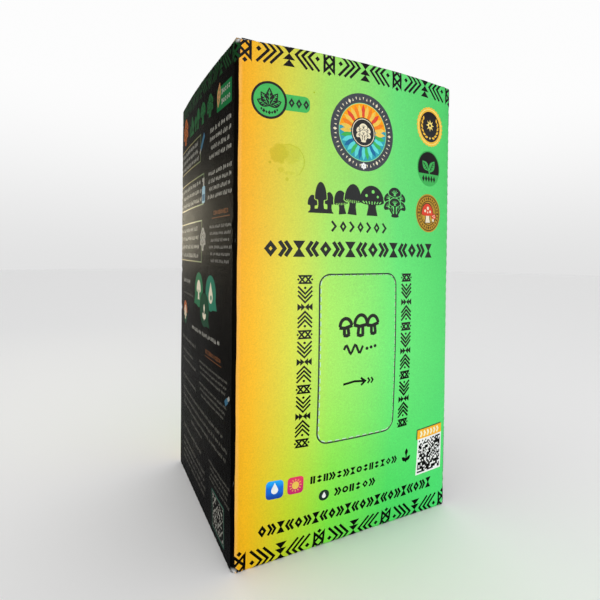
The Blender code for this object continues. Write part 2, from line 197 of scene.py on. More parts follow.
def stroke(ink, path, width, sharpest=0.35):
    """A line of even width along a path, with square ends and mitres that sharpest keeps in bounds."""
    path = [Vector(point) for point in path]
    ways = [(b - a).normalized() for a, b in zip(path, path[1:])]
    left, right = [], []
    for point, first, second in zip(path, ways[:1] + ways, ways + ways[-1:]):
        mitre = (first + second).normalized()
        across = Vector((-mitre.y, mitre.x))
        across *= width / 2 / max(sharpest, abs(across.dot(Vector((-first.y, first.x)))))
        left.append(tuple(point + across))
        right.append(tuple(point - across))
    return [(ink, right + left[::-1])]


def arc(x, z, radius, start, end, steps=10, tall=1.0):
    turns = [math.radians(start + (end - start) * step / steps) for step in range(steps + 1)]
    return [polar(x, z, radius, turn, tall) for turn in turns]


def petal(ink, length, width, start=0.0, turn=0.0, steps=9):
    """A leaf from start to start + length along the up direction, then turned about the origin."""
    shares = [step / steps for step in range(1, steps)]
    right = [(width / 2 * math.sin(math.pi * share), start + length * share) for share in shares]
    left = [(-x, z) for x, z in reversed(right)]
    return moved([(ink, [(0.0, start), *right, (0.0, start + length), *left])], turn=turn)


# ---------------------------------------------------------------- ornaments of the print
def chevron(ink, tip, level, arm_low, arm_high, width, rise, point_to=1):
    """A '>' whose tip is at (tip, level). rise is an arm's height over its run."""
    low = (tip - point_to * arm_low / rise, level - arm_low)
    return stroke(ink, [low, (tip, level), (tip - point_to * arm_high / rise, level + arm_high)], width)


def lattice_box(ink, half, cross, tip, dot, dot_size, bar, line, x=0.0, z=0.0, turn=0.0):
    """Two bars with pointed ends, joined by crossing lines, and a diamond in each open end."""
    art = []
    outer, inner = half + bar / 2, half - bar / 2
    for side in (-1, 1):
        points = [(side * outer, -tip), (side * outer, tip)]
        art.append((ink, points + [(side * inner, tip - bar * 1.3), (side * inner, bar * 1.3 - tip)]))
    for middle in (cross, -cross):
        art += stroke(ink, [(half, 0), (0, middle), (-half, 0)], line)
    for side in (-1, 1):
        far = side * cross * 2
        art += stroke(ink, [(-half, far), (0, side * cross), (half, far)], line)
        art += diamond(ink, dot_size, 0, side * dot)
    return moved(art, x, z, turn=turn)


# The border: its repeat, and the levels of its middle, its top and the line it is mirrored at
PERIOD = 47.73
BORDER_LEVEL = 282.05
BORDER_TOP = 286.2
BORDER_MIRROR = 285.4
# The measures of its boxes and of a column's, in the order that lattice_box takes them
BORDER_BOX = (2.95, 2.95, 7.7, 6.95, 1.45, 1.4, 1.42)
COLUMN_BOX = (2.0, 1.75, 4.4, 3.95, 0.75)


def border(ink, first=-70.76, boxes=4, left=-74.3, right=74.3):
    """The ornament band along a wall's top edge. Its bottom band is the mirror image."""
    art = []
    for k in range(boxes):
        x = first + k * PERIOD
        art += lattice_box(ink, *BORDER_BOX, x, BORDER_LEVEL)
        if k == boxes - 1:
            break
        middle = x + PERIOD / 2
        for side in (-1, 1):
            art += diamond(ink, 1.5, middle + side * 16.6, BORDER_LEVEL)
            for n in range(3):
                tip = middle + side * (3.95 + 3.72 * n)
                art += chevron(ink, tip, BORDER_LEVEL, 6.9, 5.0, 1.48, 1.08, -side)
        for low, apex in ((3.4, 0.12), (7.05, -3.2)):
            foot = [(middle - 3.45, BORDER_LEVEL - low), (middle + 3.45, BORDER_LEVEL - low)]
            art.append((ink, foot + [(middle, BORDER_LEVEL + apex)]))
        head = [(middle + 3.6, BORDER_TOP), (middle - 3.6, BORDER_TOP)]
        art.append((ink, [(middle, BORDER_LEVEL - 0.12), *head]))
    return [(ink, pts) for ink, pts in art if max(pts)[0] > left and min(pts)[0] < right]


def mirrored_down(art):
    return [(ink, [(x, BORDER_MIRROR - z) for x, z in points]) for ink, points in art]


def ornament_column(ink, x, top=158.2, step=30.53, boxes=4, lean=0.0, weight=1.0):
    """An upright ornament: boxes on their side, with chevrons and a bow-tie between each two."""
    art = []
    for k in range(boxes):
        z = top - k * step
        art += lattice_box(ink, *COLUMN_BOX, 0.98 * weight, 0.98 * weight, x, z, turn=90)
        if k == boxes - 1:
            break
        middle = z - step / 2
        for side in (-1, 1):
            art += disc(ink, 0.75, x, middle + side * 10.6, 12)
            for n in range(3):
                tip = middle + side * (2.55 + 2.38 * n)
                back = tip + side * 4.1
                art += stroke(ink, [(x - 4.1, back), (x, tip), (x + 4.1, back)], 1.02 * weight)
            for out, reach in ((4.35, 2.6), (2.25, 2.4)):
                ends = [(x + side * out, middle - 2.1), (x + side * out, middle + 2.1)]
                art.append((ink, ends + [(x + side * (out - reach), middle)]))
    return [(ink, [(a + lean * (b - top), b) for a, b in points]) for ink, points in art]


def veined_leaf(ink, void, length, width, turn=0.0):
    """A leaf with its midrib and side veins left out."""
    art = petal(ink, length, width)
    art += stroke(void, [(0, length * 0.10), (0, length * 0.86)], width * 0.09)
    for n in range(3):
        low, reach = length * (0.26 + 0.19 * n), width * (0.30 - 0.05 * n)
        for side in (-1, 1):
            art += stroke(void, [(0, low), (side * reach, low + length * 0.13)], width * 0.065)
    return moved(art, turn=turn)


def mushroom(ink, void, width, height, stem, gills=True, spots=()):
    """A mushroom in one ink: a domed cap over a stem. Its gills, and any spots, are left out."""
    foot = width * stem / 2
    low = height * 0.46
    points = [(-foot * 1.25, 0), (foot * 1.25, 0), (foot * 0.85, height * 0.28), (foot, height * 0.5)]
    art = [(ink, points + [(-foot, height * 0.5), (-foot * 0.85, height * 0.28)])]
    dome = arc(0, low, width / 2, 0, 180, 18, tall=(height - low) / (width / 2))
    art.append((ink, dome + arc(0, low, width / 2, 180, 360, 12, tall=0.22)[1:-1]))
    for n in range(-3, 4) if gills else ():
        x, end = n * width * 0.125, low - height * 0.085 + abs(n) * height * 0.012
        art += stroke(void, [(x, low + height * 0.015), (x * 0.8, end)], width * 0.036)
    for x, z, size in spots:
        art += disc(void, size * width, x * width, low + z * height, 14)
    return art


def oyster_cap(ink, void, width, lean, x, z, foot):
    """One fan-shaped cap on its stem, ringed in the ground's colour where it overlaps another."""
    half = width / 2
    c, s = math.cos(math.radians(lean)), math.sin(math.radians(lean))

    def placed(*points):
        return [(x + a * c - b * s, z + a * s + b * c) for a, b in points]

    def fan(grow):
        r = half + grow
        rim = arc(0, 0, r, -12, 192, 20, tall=0.80)
        rim = [(a * (1 + 0.03 * math.sin(7 * math.atan2(b, a))), b) for a, b in rim]
        base = half * 0.20 + grow
        left = placed((-0.55 * r, -0.36 * r), (-0.17 * r, -0.46 * r)) + [(foot[0] - base, foot[1])]
        right = [(foot[0] + base, foot[1])] + placed((0.17 * r, -0.46 * r), (0.55 * r, -0.36 * r))
        return placed(*rim) + left + right

    art = [(void, fan(width * 0.065)), (ink, fan(0.0))]
    for n in range(-2, 3):
        way = math.radians(90 + n * 27)
        end = (0.60 * half * math.cos(way), 0.46 * half * math.sin(way) - 0.02 * half)
        art += stroke(void, placed((0.10 * half * n, -0.30 * half), end), width * 0.034)
    return art


def oyster_cluster(ink, void, size):
    """Six caps fanned over one foot, in a box as wide and high as size, standing on zero."""
    rows = [(-0.24, 0.60, 26, 0.42), (0.25, 0.62, -26, 0.42), (0.0, 0.76, 0, 0.50)]
    rows += [(-0.26, 0.34, 30, 0.40), (0.27, 0.35, -30, 0.40), (0.0, 0.44, 0, 0.44)]
    art = []
    for x, z, lean, width in rows:
        art += oyster_cap(ink, void, width, lean, x, z, (x * 0.22, 0.03))
    foot = arc(0, 0.03, 0.16, 0, 180, 8, tall=0.5) + arc(0, 0.03, 0.16, 180, 360, 8, tall=0.25)[1:-1]
    return moved([*art, (ink, foot)], scale=size)


def sprig(ink, length, width, stem, spread=50.0):
    """A stem with a pair of leaves and one at its end."""
    art = stroke(ink, [(0, 0), (0, length * 1.5)], stem)
    for side in (-1, 1):
        art += moved(petal(ink, length, width, turn=side * spread), 0, length * 0.15)
    return art + moved(petal(ink, length, width), 0, length * 0.9)


def drop_shape(ink, size):
    return [(ink, arc(0, 0, size * 0.5, -210, 30, 12) + [(0, size * 1.05)])]


# A bead's width over its height, by kind: diamond, hourglass, ring, pair of bars, chevrons, stack
BEAD_WIDTHS = {"d": 0.86, "h": 0.80, "r": 0.86, "b": 0.62, "z": 0.86, "s": 0.86}


def bead(ink, void, kind, mid, z, w, half):
    if kind == "d":
        return pierced(ink, void, w, w * 0.38, mid, z, half / w)
    if kind == "h":
        return hourglass(ink, mid, z, w, half, 0.12)
    if kind == "r":
        return disc(ink, w, mid, z, 20) + disc(void, w * 0.42, mid, z, 14)
    art = []
    for side in (-1, 1):
        if kind == "b":
            at = mid + side * w * 0.6
            art += panel(ink, at - w * 0.46, at + w * 0.46, z - half, z + half)
        elif kind == "z":
            tip = mid + w * 0.35 + side * w * 0.5
            back = tip - w * 0.75
            art += stroke(ink, [(back, z - half), (tip, z), (back, z + half)], half * 0.52)
        else:
            art += diamond(ink, w * 0.85, mid, z + side * half * 0.52, tall=0.56 * half / w)
    return art


def hourglass(ink, x, z, w, half, overlap):
    """Two triangles whose tips cross a little."""
    upper = [(x - w, z + half), (x, z - half * overlap), (x + w, z + half)]
    return [(ink, upper), (ink, [(x - w, z - half), (x + w, z - half), (x, z + half * overlap)])]


def beads(ink, left, right, z, height, seed, gap=0.8, void="ground"):
    """A row of small ornaments that stands where a line of words was."""
    draw = random.Random(seed)
    kinds = []
    total = -gap
    while True:
        kind = draw.choice([k for k in BEAD_WIDTHS if not kinds or k != kinds[-1]])
        if total + gap + BEAD_WIDTHS[kind] * height > right - left:
            break
        kinds.append(kind)
        total += gap + BEAD_WIDTHS[kind] * height
    x = left + (right - left - total) / 2
    art = []
    for kind in kinds:
        w = BEAD_WIDTHS[kind] * height / 2
        art += bead(ink, void, kind, x + w, z, w, height / 2)
        x += 2 * w + gap
    return art


def marks(ink, left, right, z, height, seed, centre=False, slope=0.0):
    """A line of small print as a run of tiny diamonds, slants and squares, grouped like words."""
    draw = random.Random(seed)
    spans = []
    x = left
    while x < right - height:
        for _ in range(draw.randint(2, 7)):
            wide = height * draw.choice((0.50, 0.62, 0.74))
            if x + wide > right:
                break
            spans.append((x, wide, draw.choice("dsqt")))
            x += wide + height * 0.17
        x += height * 0.55
    shift = (right - spans[-1][0] - spans[-1][1]) / 2 if centre else 0.0
    art = []
    for start, wide, kind in spans:
        start += shift
        mid, end = start + wide / 2, start + wide
        level = z + slope * (mid - left)
        low, high, inset = level - height / 2, level + height / 2, height * 0.12
        art.append((ink, {
            "d": [(mid + wide / 2, level), (mid, high), (mid - wide / 2, level), (mid, low)],
            "s": [(start, low), (start + wide * 0.55, low), (end, high), (start + wide * 0.45, high)],
            "q": box(start, start + wide * 0.7, low + inset, high - inset),
            "t": [(start, low), (end, low), (mid, high)],
        }[kind]))
    return art


def band(ink, void, left, right, low, high, cells):
    """A bold geometric band that stands where a heading was."""
    art = []
    wide = (right - left) / cells
    mid, half = (low + high) / 2, (high - low) / 2
    for n in range(cells):
        x = left + wide * (n + 0.5)
        w = wide * 0.45
        kind = n % 4
        if kind == 0:
            art += pierced(ink, void, w, w * 0.28, x, mid, half / w)
        elif kind == 2:
            art += hourglass(ink, x, mid, w, half, 0.16)
        else:
            side = 2 - kind
            for part in (-1, 1):
                tip = x + side * (w * 0.40 + part * w * 0.46)
                back = tip - side * w * 0.80
                art += stroke(ink, [(back, low + 0.4), (tip, mid), (back, high - 0.4)], wide * 0.27)
    return art


def mosaic(ink, left, right, low, high, cells, seed, fill=0.60):
    """A woven check that holds the place of a scan code. It codes nothing."""
    draw = random.Random(seed)
    art = []
    wide, tall = (right - left) / cells, (high - low) / cells
    for row in range(cells):
        start = None
        z = low + row * tall
        for col in range(cells + 1):
            fold = min(col, cells - 1 - col) + min(row, cells - 1 - row)
            filled = col < cells and (draw.random() < fill or fold % 6 == 0)
            if filled and start is None:
                start = col
            elif not filled and start is not None:
                art += panel(ink, left + start * wide, left + col * wide, z, z + tall)
                start = None
    return art


# ---------------------------------------------------------------- the print on each wall
def nested(spec, radius):
    """Discs one in another. spec gives each one's ink, its share of the radius and its corners."""
    return [disc(ink, radius * share, count=count)[0] for ink, share, count in spec]


def roundel(radius):
    """The round emblem: a dark disc, a worked ring, and a rosette, warm above and cool below."""
    art = disc("slate", radius, count=72)
    inner, outer, half = radius * 0.83, radius * 0.91, radius * 0.019
    for n in range(48):
        mark = [("cream", [(-half, outer), (0, inner), (half, outer)])]
        if n % 2:
            mark = [("cream", [(-half, inner), (half, inner), (0, outer)])]
        if n % 8 == 4:
            mark = diamond("cream", radius * 0.040, 0, radius * 0.865, tall=1.5)
        art += moved(mark, turn=360 / 48 * n)
    for n in range(6):
        leaf = petal("white", radius * 0.082, radius * 0.066, start=radius * 0.012, turn=60 * n)
        art += moved(leaf, 0, -radius * 0.865)
    art += nested((("mint", 0.755, 60), ("teal", 0.74, 60)), radius)
    art.append(("orange", arc(0, 0, radius * 0.74, 8, 172, 30)))
    for n in range(32):
        turn = 360 / 32 * n
        up = math.cos(math.radians(turn))
        inks = ("aqua", "badge_green", "aqua", "blue_deep")
        if up > 0.15:
            inks = ("red", "yellow", "orange_deep", "yellow")
        elif up > -0.25:
            inks = ("yellow", "badge_green") * 2
        art += petal(inks[n % 4], radius * 0.375, radius * 0.120, start=radius * 0.345, turn=turn)
    art += nested((("charcoal", 0.385, 40), ("cream", 0.355, 40), ("charcoal", 0.335, 40)), radius)
    return art + moved(oyster_cluster("cream", "charcoal", radius * 0.50), 0, -radius * 0.25)


def leaf_badge(radius):
    art = nested((("jet", 1, 56), ("badge_green", 0.87, 56)), radius)
    for turn, length in ((-66, 7.4), (66, 7.4), (-33, 8.6), (33, 8.6), (0, 9.8)):
        art += moved(veined_leaf("jet", "badge_green", length, 4.1, turn), 0, -3.2)
    for n in range(-3, 4):
        size = 0.62 if n % 2 else 0.9
        art += diamond("jet", size, *polar(0, 0, radius * 0.66, math.radians(270 + n * 14)), tall=1.3)
    return art


def gold_seal(radius):
    rim = [radius * (1 + 0.026 * math.cos(30 * 2 * math.pi * i / 180)) for i in range(180)]
    art = blob("gold", rim)
    art += nested((("pale_gold", 0.92, 56), ("gold", 0.87, 56), ("charcoal", 0.78, 56)), radius)
    art += blob("pale_gold", [3.7, 1.7] * 8, 90.0, 0, 0.9) + disc("charcoal", 0.9, 0, 0.9, 16)
    for side in (-1, 1):
        for n in range(6):
            turn = math.radians(-90 + side * (14 + n * 20))
            leaf = petal("gold", 3.1, 1.45, turn=math.degrees(turn) - 90 + side * 76)
            art += moved(leaf, radius * 0.58 * math.cos(turn), radius * 0.58 * math.sin(turn) + 0.2)
    return art + diamond("pale_gold", 0.8, 0, -radius * 0.58)


def sprout_badge(radius):
    art = disc("badge_green", radius, count=56)
    art.append(("jet", arc(0, 0, radius * 0.93, -19, 199, 34)))
    art += moved(veined_leaf("badge_green", "jet", 9.0, 5.1, -36), 0.2, -2.4)
    art += moved(veined_leaf("badge_green", "jet", 8.2, 4.7, 46), -0.2, -1.4)
    art += stroke("badge_green", [(0.7, -3.4), (0.1, -2.0), (0, 0.2)], 0.85)
    for n in range(-2, 3):
        art += diamond("jet", 1.2, n * 2.6, -6.3, tall=1.75)
    return art


TOADSTOOL_SPOTS = ((-0.20, 0.16, 0.085), (0.05, 0.30, 0.10), (0.25, 0.12, 0.08), (0.02, 0.08, 0.06))


def toadstool_badge(radius):
    spec = (("ochre", 1, 56), ("umber", 0.93, 56), ("ochre", 0.875, 56), ("umber", 0.655, 48))
    spec += (("ochre_light", 0.60, 48), ("umber", 0.545, 48), ("ochre_light", 0.52, 48))
    art = nested(spec, radius)
    for n in range(28):
        mark = panel("umber", -0.48, 0.48, radius * 0.71, radius * 0.82)
        if n % 7 == 0:
            mark = diamond("umber", 0.95, 0, radius * 0.765, tall=1.2)
        art += moved(mark, turn=360 / 28 * n)
    for width, height, x, z, lean in ((4.8, 5.2, 4.5, -5.0, -14), (10.8, 11.8, -0.7, -5.9, 2)):
        back = mushroom("umber", "umber", width * 1.13, height * 1.09, 0.42, gills=False)
        art += moved(back, x, z - 0.4, lean)
        stem, (_, cap) = mushroom("cream", "cream", width, height, 0.34, gills=False)
        top = [stem, ("red", cap)]
        for a, b, size in TOADSTOOL_SPOTS:
            top += disc("cream", size * width, a * width, height * 0.46 + b * height, 12)
        art += moved(top, x, z, lean)
    return art


def grown(points, size):
    """A closed outline pushed outwards by a distance, for a gap round a shape."""
    if area(points) < 0:
        points = points[::-1]
    out = []
    for i, (x, z) in enumerate(points):
        before = Vector((x, z)) - Vector(points[i - 1])
        after = Vector(points[(i + 1) % len(points)]) - Vector((x, z))
        way = Vector((0.0, 0.0))
        for side in (before, after):
            if side.length > 1e-9:
                way += Vector((side.y, -side.x)) / side.length
        if way.length > 1e-6:
            way.normalize()
        out.append((x + way.x * size, z + way.y * size))
    return out


def ringed(art, void, gap, x, z, lean=0.0):
    """A stem and its cap, put at a place over a gap in the ground's colour."""
    under = [(void, grown(points, gap)) for _, points in art[:2]]
    return moved(under, x, z, lean) + moved(art, x, z, lean)


def growth_row(ink, void, left, right, low, high):
    """Four stages of growth, from pins to a full cluster, in the place of the big heading."""
    tall, wide = high - low, (right - left) / 4
    art = []
    x = left + wide * 0.5
    for dx, w, h in ((-0.30, 0.32, 0.56), (0.31, 0.32, 0.68), (0.0, 0.40, 0.98)):
        pin = mushroom(ink, void, w * tall, h * tall, 0.52, gills=False)
        art += ringed(pin, void, tall * 0.022, x + dx * wide, low)
    art.append((ink, arc(x, low, wide * 0.46, 0, 180, 14, tall=0.34)))
    x += wide
    for dx, w, h, lean in ((-0.20, 0.50, 0.76, 7), (0.17, 0.62, 1.0, -4)):
        young = mushroom(ink, void, w * tall, h * tall, 0.44)
        art += ringed(young, void, tall * 0.03, x + dx * wide, low, lean)
    x += wide
    spots = ((-0.22, 0.2, 0.05), (0.05, 0.34, 0.06), (0.24, 0.18, 0.045))
    art += moved(mushroom(ink, void, tall * 0.98, tall, 0.36, spots=spots), x, low)
    return art + moved(oyster_cluster(ink, void, tall * 1.06), x + wide * 1.04, low)


def marker_mushroom(ink, width, height, line=2.05):
    """A mushroom in loose marker strokes. The lines are shares of its width and height."""
    rim = arc(0, height * 0.50, width / 2, 4, 176, 12, tall=(height * 0.46) / (width / 2))
    art = stroke(ink, rim, line)
    lines = [((-0.56, 0.50), (-0.1, 0.43), (0.55, 0.53)), ((-0.15, 0.44), (-0.19, 0.05))]
    lines += [((0.15, 0.44), (0.20, 0.05)), ((-0.26, 0.05), (0.02, 0.0), (0.28, 0.06))]
    for path in lines:
        art += stroke(ink, [(width * a, height * b) for a, b in path], line)
    return art


# A marker's dot, as radii round its middle
BLOT = (1.15, 1.0, 1.1, 0.95, 1.12, 1.05, 1.0, 1.08)


def window_art(ink):
    """What is drawn on the panel: three mushrooms, a wavy line with dots, and an arrow to the edge."""
    art = []
    rows = ((7.6, 10.4, -12.0, 125.4, 5), (8.6, 12.6, -2.9, 124.9, -3), (7.6, 11.2, 6.3, 125.5, 4))
    for width, height, *place in rows:
        art += moved(marker_mushroom(ink, width, height), *place)
    art += stroke(ink, [(-13.6 + 0.9 * n, 117.3 + 2.4 * math.sin(n * 0.95)) for n in range(15)], 1.5)
    for n in range(3):
        art += blob(ink, BLOT, x=1.9 + 2.9 * n, z=117.0 + 0.5 * n)
    art += stroke(ink, [(-13.6, 97.2), (-6.0, 98.3), (0.6, 97.7)], 1.3)
    art += stroke(ink, [(-1.9, 99.9), (1.2, 97.7), (-1.6, 95.5)], 1.3)
    for n in range(2):
        x = 3.0 + 2.4 * n
        art += stroke(ink, [(x, 99.4), (4.3 + 2.4 * n, 97.7), (x, 96.0)], 1.1)
    return art


def icon_tile(ink, motif, x, z, size):
    art = panel(ink, -size / 2, size / 2, -size / 2, size / 2, size * 0.22)
    return moved(art + motif, x, z, tall=1.06)


def front_print():
    """The wall with the window, in the photograph's layout."""
    ink = "charcoal"
    art = border(ink, right=76.5) + mirrored_down(border(ink, first=-71.05, right=76.5))
    art += ornament_column(ink, -37.35, lean=0.0045)
    art += ornament_column(ink, 32.2, lean=0.006, weight=1.18)
    art += panel("badge_green", -53.0, -34.7, 250.7, 259.6, 3.0)
    for n in range(3):
        x = -45.3 + n * 4.2
        art += pierced(ink, "badge_green", 1.75, 0.6, x, 255.2, 1.55)
    badges = ((leaf_badge(9.7), -57.6, 255.2, 1.05), (roundel(21.9), -0.4, 244.5, 1.05))
    badges += ((gold_seal(12.1), 53.9, 256.4, 1.05), (sprout_badge(10.9), 52.9, 229.0, 1.07))
    for badge, x, z, tall in (*badges, (toadstool_badge(11.9), 52.5, 199.7, 1.05)):
        art += moved(badge, x, z, tall=tall)
    art += growth_row(ink, "ground", -36.6, 30.4, 195.4, 213.4)
    for n in range(7):
        x = -20.2 + n * 5.75
        if n % 2:
            art += pierced(ink, "ground", 2.2, 0.75, x, 188.3, 1.5)
        else:
            art += stroke(ink, [(x - 1.4, 185.4), (x + 1.0, 188.3), (x - 1.4, 191.2)], 1.3)
    art += band(ink, "ground", -60.4, 56.4, 170.7, 179.7, 15) + window_art(ink)
    art += icon_tile("blue", moved(drop_shape("white", 3.9), 0, -0.3), -52.3, 42.2, 9.8)
    sun = disc("yellow", 2.1, count=20)
    for n in range(12):
        sun += moved(petal("yellow", 1.3, 0.5, start=2.4), turn=30 * n)
    art += icon_tile("pink", sun, -40.4, 42.6, 9.4)
    art += beads(ink, -32.6, 29.8, 43.6, 4.5, 11, 0.75)
    art += moved(sprig(ink, 4.9, 2.5, 0.95, 48), 36.8, 39.2)
    art += disc("bottle", 3.3, -22.4, 32.7, 28) + moved(drop_shape("white", 2.5), -22.4, 32.2)
    art += beads(ink, -17.0, 14.2, 33.0, 4.8, 5, 0.9) + band(ink, "ground", -61.2, 61.2, 16.2, 23.2, 23)
    # The olive panel under the header shows along its left and top as a thin painted shadow line
    art += panel("olive", 45.0, 69.1, 51.8, 58.75, 0.4) + panel("amber", 45.9, 69.6, 51.8, 58.0, 0.3)
    for n in range(6):
        art += chevron("ivory", 50.1 + n * 3.2, 54.9, 1.9, 1.9, 1.45, 1.7)
    art += panel("white", 46.4, 69.7, 27.4, 51.85)
    return art + mosaic("charcoal", 47.7, 68.5, 28.6, 50.7, 21, 4)


def framed(left, right, low, high):
    """A thin box with its left side drawn again, square to its corners."""
    lines = stroke("outline", box(left, right, low, high), 0.8)
    return lines + panel("outline", left - 0.4, left + 0.4, low - 0.4, high + 0.4)


# Small print of the left wall. A block is its top row's height, the step down, how many rows, their
# ends, their size and ink; a line is its height, its ends and its size; a box of steps is its top and
# foot, its right side and how many rows it holds
TEXT_BLOCKS = (
    (247.0, 5.4, 4, 25.5, 70.0, 2.85, "off_white"), (220.8, 4.8, 4, 23.5, 71.0, 2.6, "off_white"),
    (188.0, 4.1, 6, 28.5, 71.0, 2.0, "grey_light"), (100.6, 3.6, 3, 4.5, 66.5, 1.8, "grey"),
    (86.2, 3.6, 3, 4.5, 64.5, 1.8, "grey"), (43.2, 3.5, 4, 27.5, 70.5, 1.7, "grey"),
)
TEXT_LINES = (
    (150.8, -57.0, -25.5, 3.0), (141.4, -55.0, -15.5, 1.3), (107.0, -60.0, -5.0, 2.6),
    (97.2, -56.0, -15.0, 2.0), (91.2, -55.0, -5.0, 2.2), (77.6, -55.0, -5.0, 2.2),
    (68.2, -56.0, 58.0, 2.3), (62.2, -55.0, 66.0, 2.3), (56.4, -55.0, 64.0, 2.3),
    (50.2, -24.0, 10.0, 2.3), (38.8, -54.0, 7.5, 2.6), (28.8, -55.0, 17.5, 2.4),
    (23.8, -55.0, 15.0, 2.4), (18.8, -55.0, 17.0, 2.4), (13.8, -55.0, 14.0, 2.4),
)
BOLD_FROM = 2.65
STEP_BOXES = ((250.2, 232.6, 3.6, 3), (223.0, 203.6, 14.0, 3), (193.0, 166.0, 10.4, 4))


def left_print():
    """The dark side wall that the photograph shows: steps, questions and small print, all wordless."""
    text, dark = "off_white", "badge_green_dark"
    art = border("dark_green") + growth_row("leaf_green", "black", -35.5, 34.5, 256.2, 270.2)
    art += moved(oyster_cluster("rust", "black", 21.0), -54.4, 254.6)
    art += panel(dark, 41.4, 68.0, 254.6, 268.0, 1.0)
    for z, seed in ((264.6, 30), (259.0, 34)):
        art += beads(text, 49.0, 66.4, z, 3.0, seed, 0.5, dark)
    art += moved(veined_leaf("skin", dark, 14.5, 6.2, -12), 43.6, 257.0)
    for n, (high, low, right, rows) in enumerate(STEP_BOXES):
        art += framed(-70.0, right, low, high)
        for row in range(rows):
            z = high - (high - low) * (row + 0.75) / (rows + 0.4)
            start, end = -66.0 + 4 * (row % 2), right - 8.0 + 2 * (row % 3)
            art += marks(text, start, end, z, 3.0, 40 + 7 * n + row)
    tool = panel("steel_blue", -1.9, 1.9, -8.5, 4.0, 0.8) + panel(text, -0.9, 0.9, 4.0, 8.0, 0.3)
    art += moved(tool, 7.4, 243.0, turn=130)
    bottle = panel("pale_blue", -4.0, 4.0, -8.0, 3.0, 2.0) + panel(text, -1.7, 1.7, 3.0, 6.0)
    bottle += panel(text, -3.8, 1.7, 6.0, 8.4, 0.5) + panel("steel_blue", -3.2, 3.2, -6.6, -2.2, 0.8)
    art += moved(bottle, 13.6, 212.0) + moved(oyster_cluster(text, "black", 15.5), 13.6, 173.4)
    for b, (top, step, rows, left, right, height, ink) in enumerate(TEXT_BLOCKS):
        for row in range(rows):
            cut = (row * 37 % 11) * 0.5
            place = (left + cut, right - cut, top - row * step, height)
            art += marks(ink, *place, 60 + 9 * b + row, centre=True)
    for z, left, right in ((196.0, 36.5, 66.0), (110.2, 22.0, 54.0)):
        art += beads("rust_dim", left, right, z, 2.7, int(z), 0.5, "black")
        art += panel("rust_dim", left - 1.5, right + 1.0, z - 3.2, z - 2.75)
    for ink, x, r, side in (("bubble_green", 3.6, 11.6, -1), ("bubble_teal", 33.0, 11.0, 1)):
        tail = [(x + side * r * a, 147.4 - r * b) for a, b in ((0.35, 0.90), (1.18, 0.86), (0.93, 0.30))]
        art += [(ink, tail)] + disc(ink, r, x, 147.4, 48)
    art += disc("black", 11.4, 18.6, 135.6, 48) + disc("bubble_dark", 10.8, 18.6, 135.6, 48)
    art.append(("bubble_dark", [(21.0, 126.0), (31.0, 125.6), (27.5, 131.5)]))
    art += moved(mushroom("cream", "bubble_green", 12.0, 13.0, 0.34), 3.4, 141.0)
    art += moved(drop_shape("cream", 8.6) + disc("bubble_teal", 1.6, 0.9, -0.6, 16), 33.4, 145.4)
    art += moved(sprig("cream", 5.6, 3.3, 1.2), 18.6, 129.0)
    art += marks(text, -18.5, 54.0, 119.6, 2.9, 90, slope=0.006) + disc("rust", 8.8, -47.6, 126.4, 40)
    art.append(("bubble_dark", arc(-47.6, 126.4, 8.8, 180, 360, 18)))
    art += moved(oyster_cluster("cream", "rust", 11.0), -47.6, 121.2)
    for n, (z, left, right, height) in enumerate(TEXT_LINES):
        art += marks(text if height > BOLD_FROM else "grey", left, right, z, height, 120 + n)
    cloth = panel("steel_blue", -4.6, 1.0, -1.6, 1.6, 0.5) + panel(text, 1.0, 4.4, -1.1, 1.1, 0.3)
    art += moved(cloth, 65.5, 91.0, turn=35)
    for ink, inset in (("teal_line", 0.0), ("grey", 0.8), ("black", 1.4)):
        art += panel(ink, 33.8 + inset, 60.2 - inset, 5.0 + inset, 28.4 - inset)
    return art + mosaic(text, 36.0, 58.0, 7.0, 26.4, 19, 9, 0.12)


def right_print():
    """The side wall out of the photograph's sight, in the left wall's manner."""
    art = border("dark_green") + moved(roundel(20.0), 0, 240.0)
    art += band("dark_green", "black", -56.0, 56.0, 202.0, 211.0, 14)
    for n in range(4):
        high = 190.0 - n * 42.0
        low = high - 33.0
        art += framed(-62.0, 62.0, low, high) + disc("bubble_green", 10.5, -45.5, (low + high) / 2, 44)
        for row in range(4):
            z = high - 7.0 - row * 6.2
            art += marks("off_white", -28.0, 57.0 - 9 * (row % 2), z, 3.0, 200 + 5 * n + row)
    motifs = [(drop_shape("cream", 9.4), 171.8), (sprig("cream", 6.0, 3.4, 1.1), 124.9)]
    motifs.append((mushroom("cream", "bubble_green", 12.0, 12.5, 0.34), 83.2))
    for motif, z in [*motifs, (oyster_cluster("cream", "bubble_green", 15.0), 40.0)]:
        art += moved(motif, -45.5, z)
    art += beads("rust", -40.0, 40.0, 20.5, 3.2, 77, 0.8, "black")
    return art + mirrored_down(border("dark_green"))


def rear_print():
    """The back wall, out of sight too, on the same ground as the front."""
    ink = "charcoal"
    art = border(ink) + mirrored_down(border(ink)) + moved(roundel(26.0), 0, 238.0)
    art += band(ink, "ground", -58.0, 58.0, 195.5, 204.5, 15)
    art += growth_row(ink, "ground", -42.0, 40.0, 160.0, 182.0)
    art += ornament_column(ink, -60.0) + ornament_column(ink, 60.0)
    for row in range(3):
        z = 132.0 - row * 26.0
        art += disc("badge_green", 9.4, -38.0, z, 44)
        for line in range(3):
            art += marks(ink, -22.0, 46.0 - 8 * line, z + 5.6 - line * 5.6, 3.2, 300 + 4 * row + line)
    motifs = [(drop_shape("white", 8.2), 130.8), (sprig("white", 5.2, 3.0, 1.0), 100.4)]
    for motif, z in [*motifs, (mushroom("white", "badge_green", 10.4, 10.8, 0.34), 74.8)]:
        art += moved(motif, -38.0, z)
    art += band(ink, "ground", -44.0, 44.0, 38.0, 45.0, 16)
    return art + beads(ink, -34.0, 34.0, 26.0, 4.4, 21)


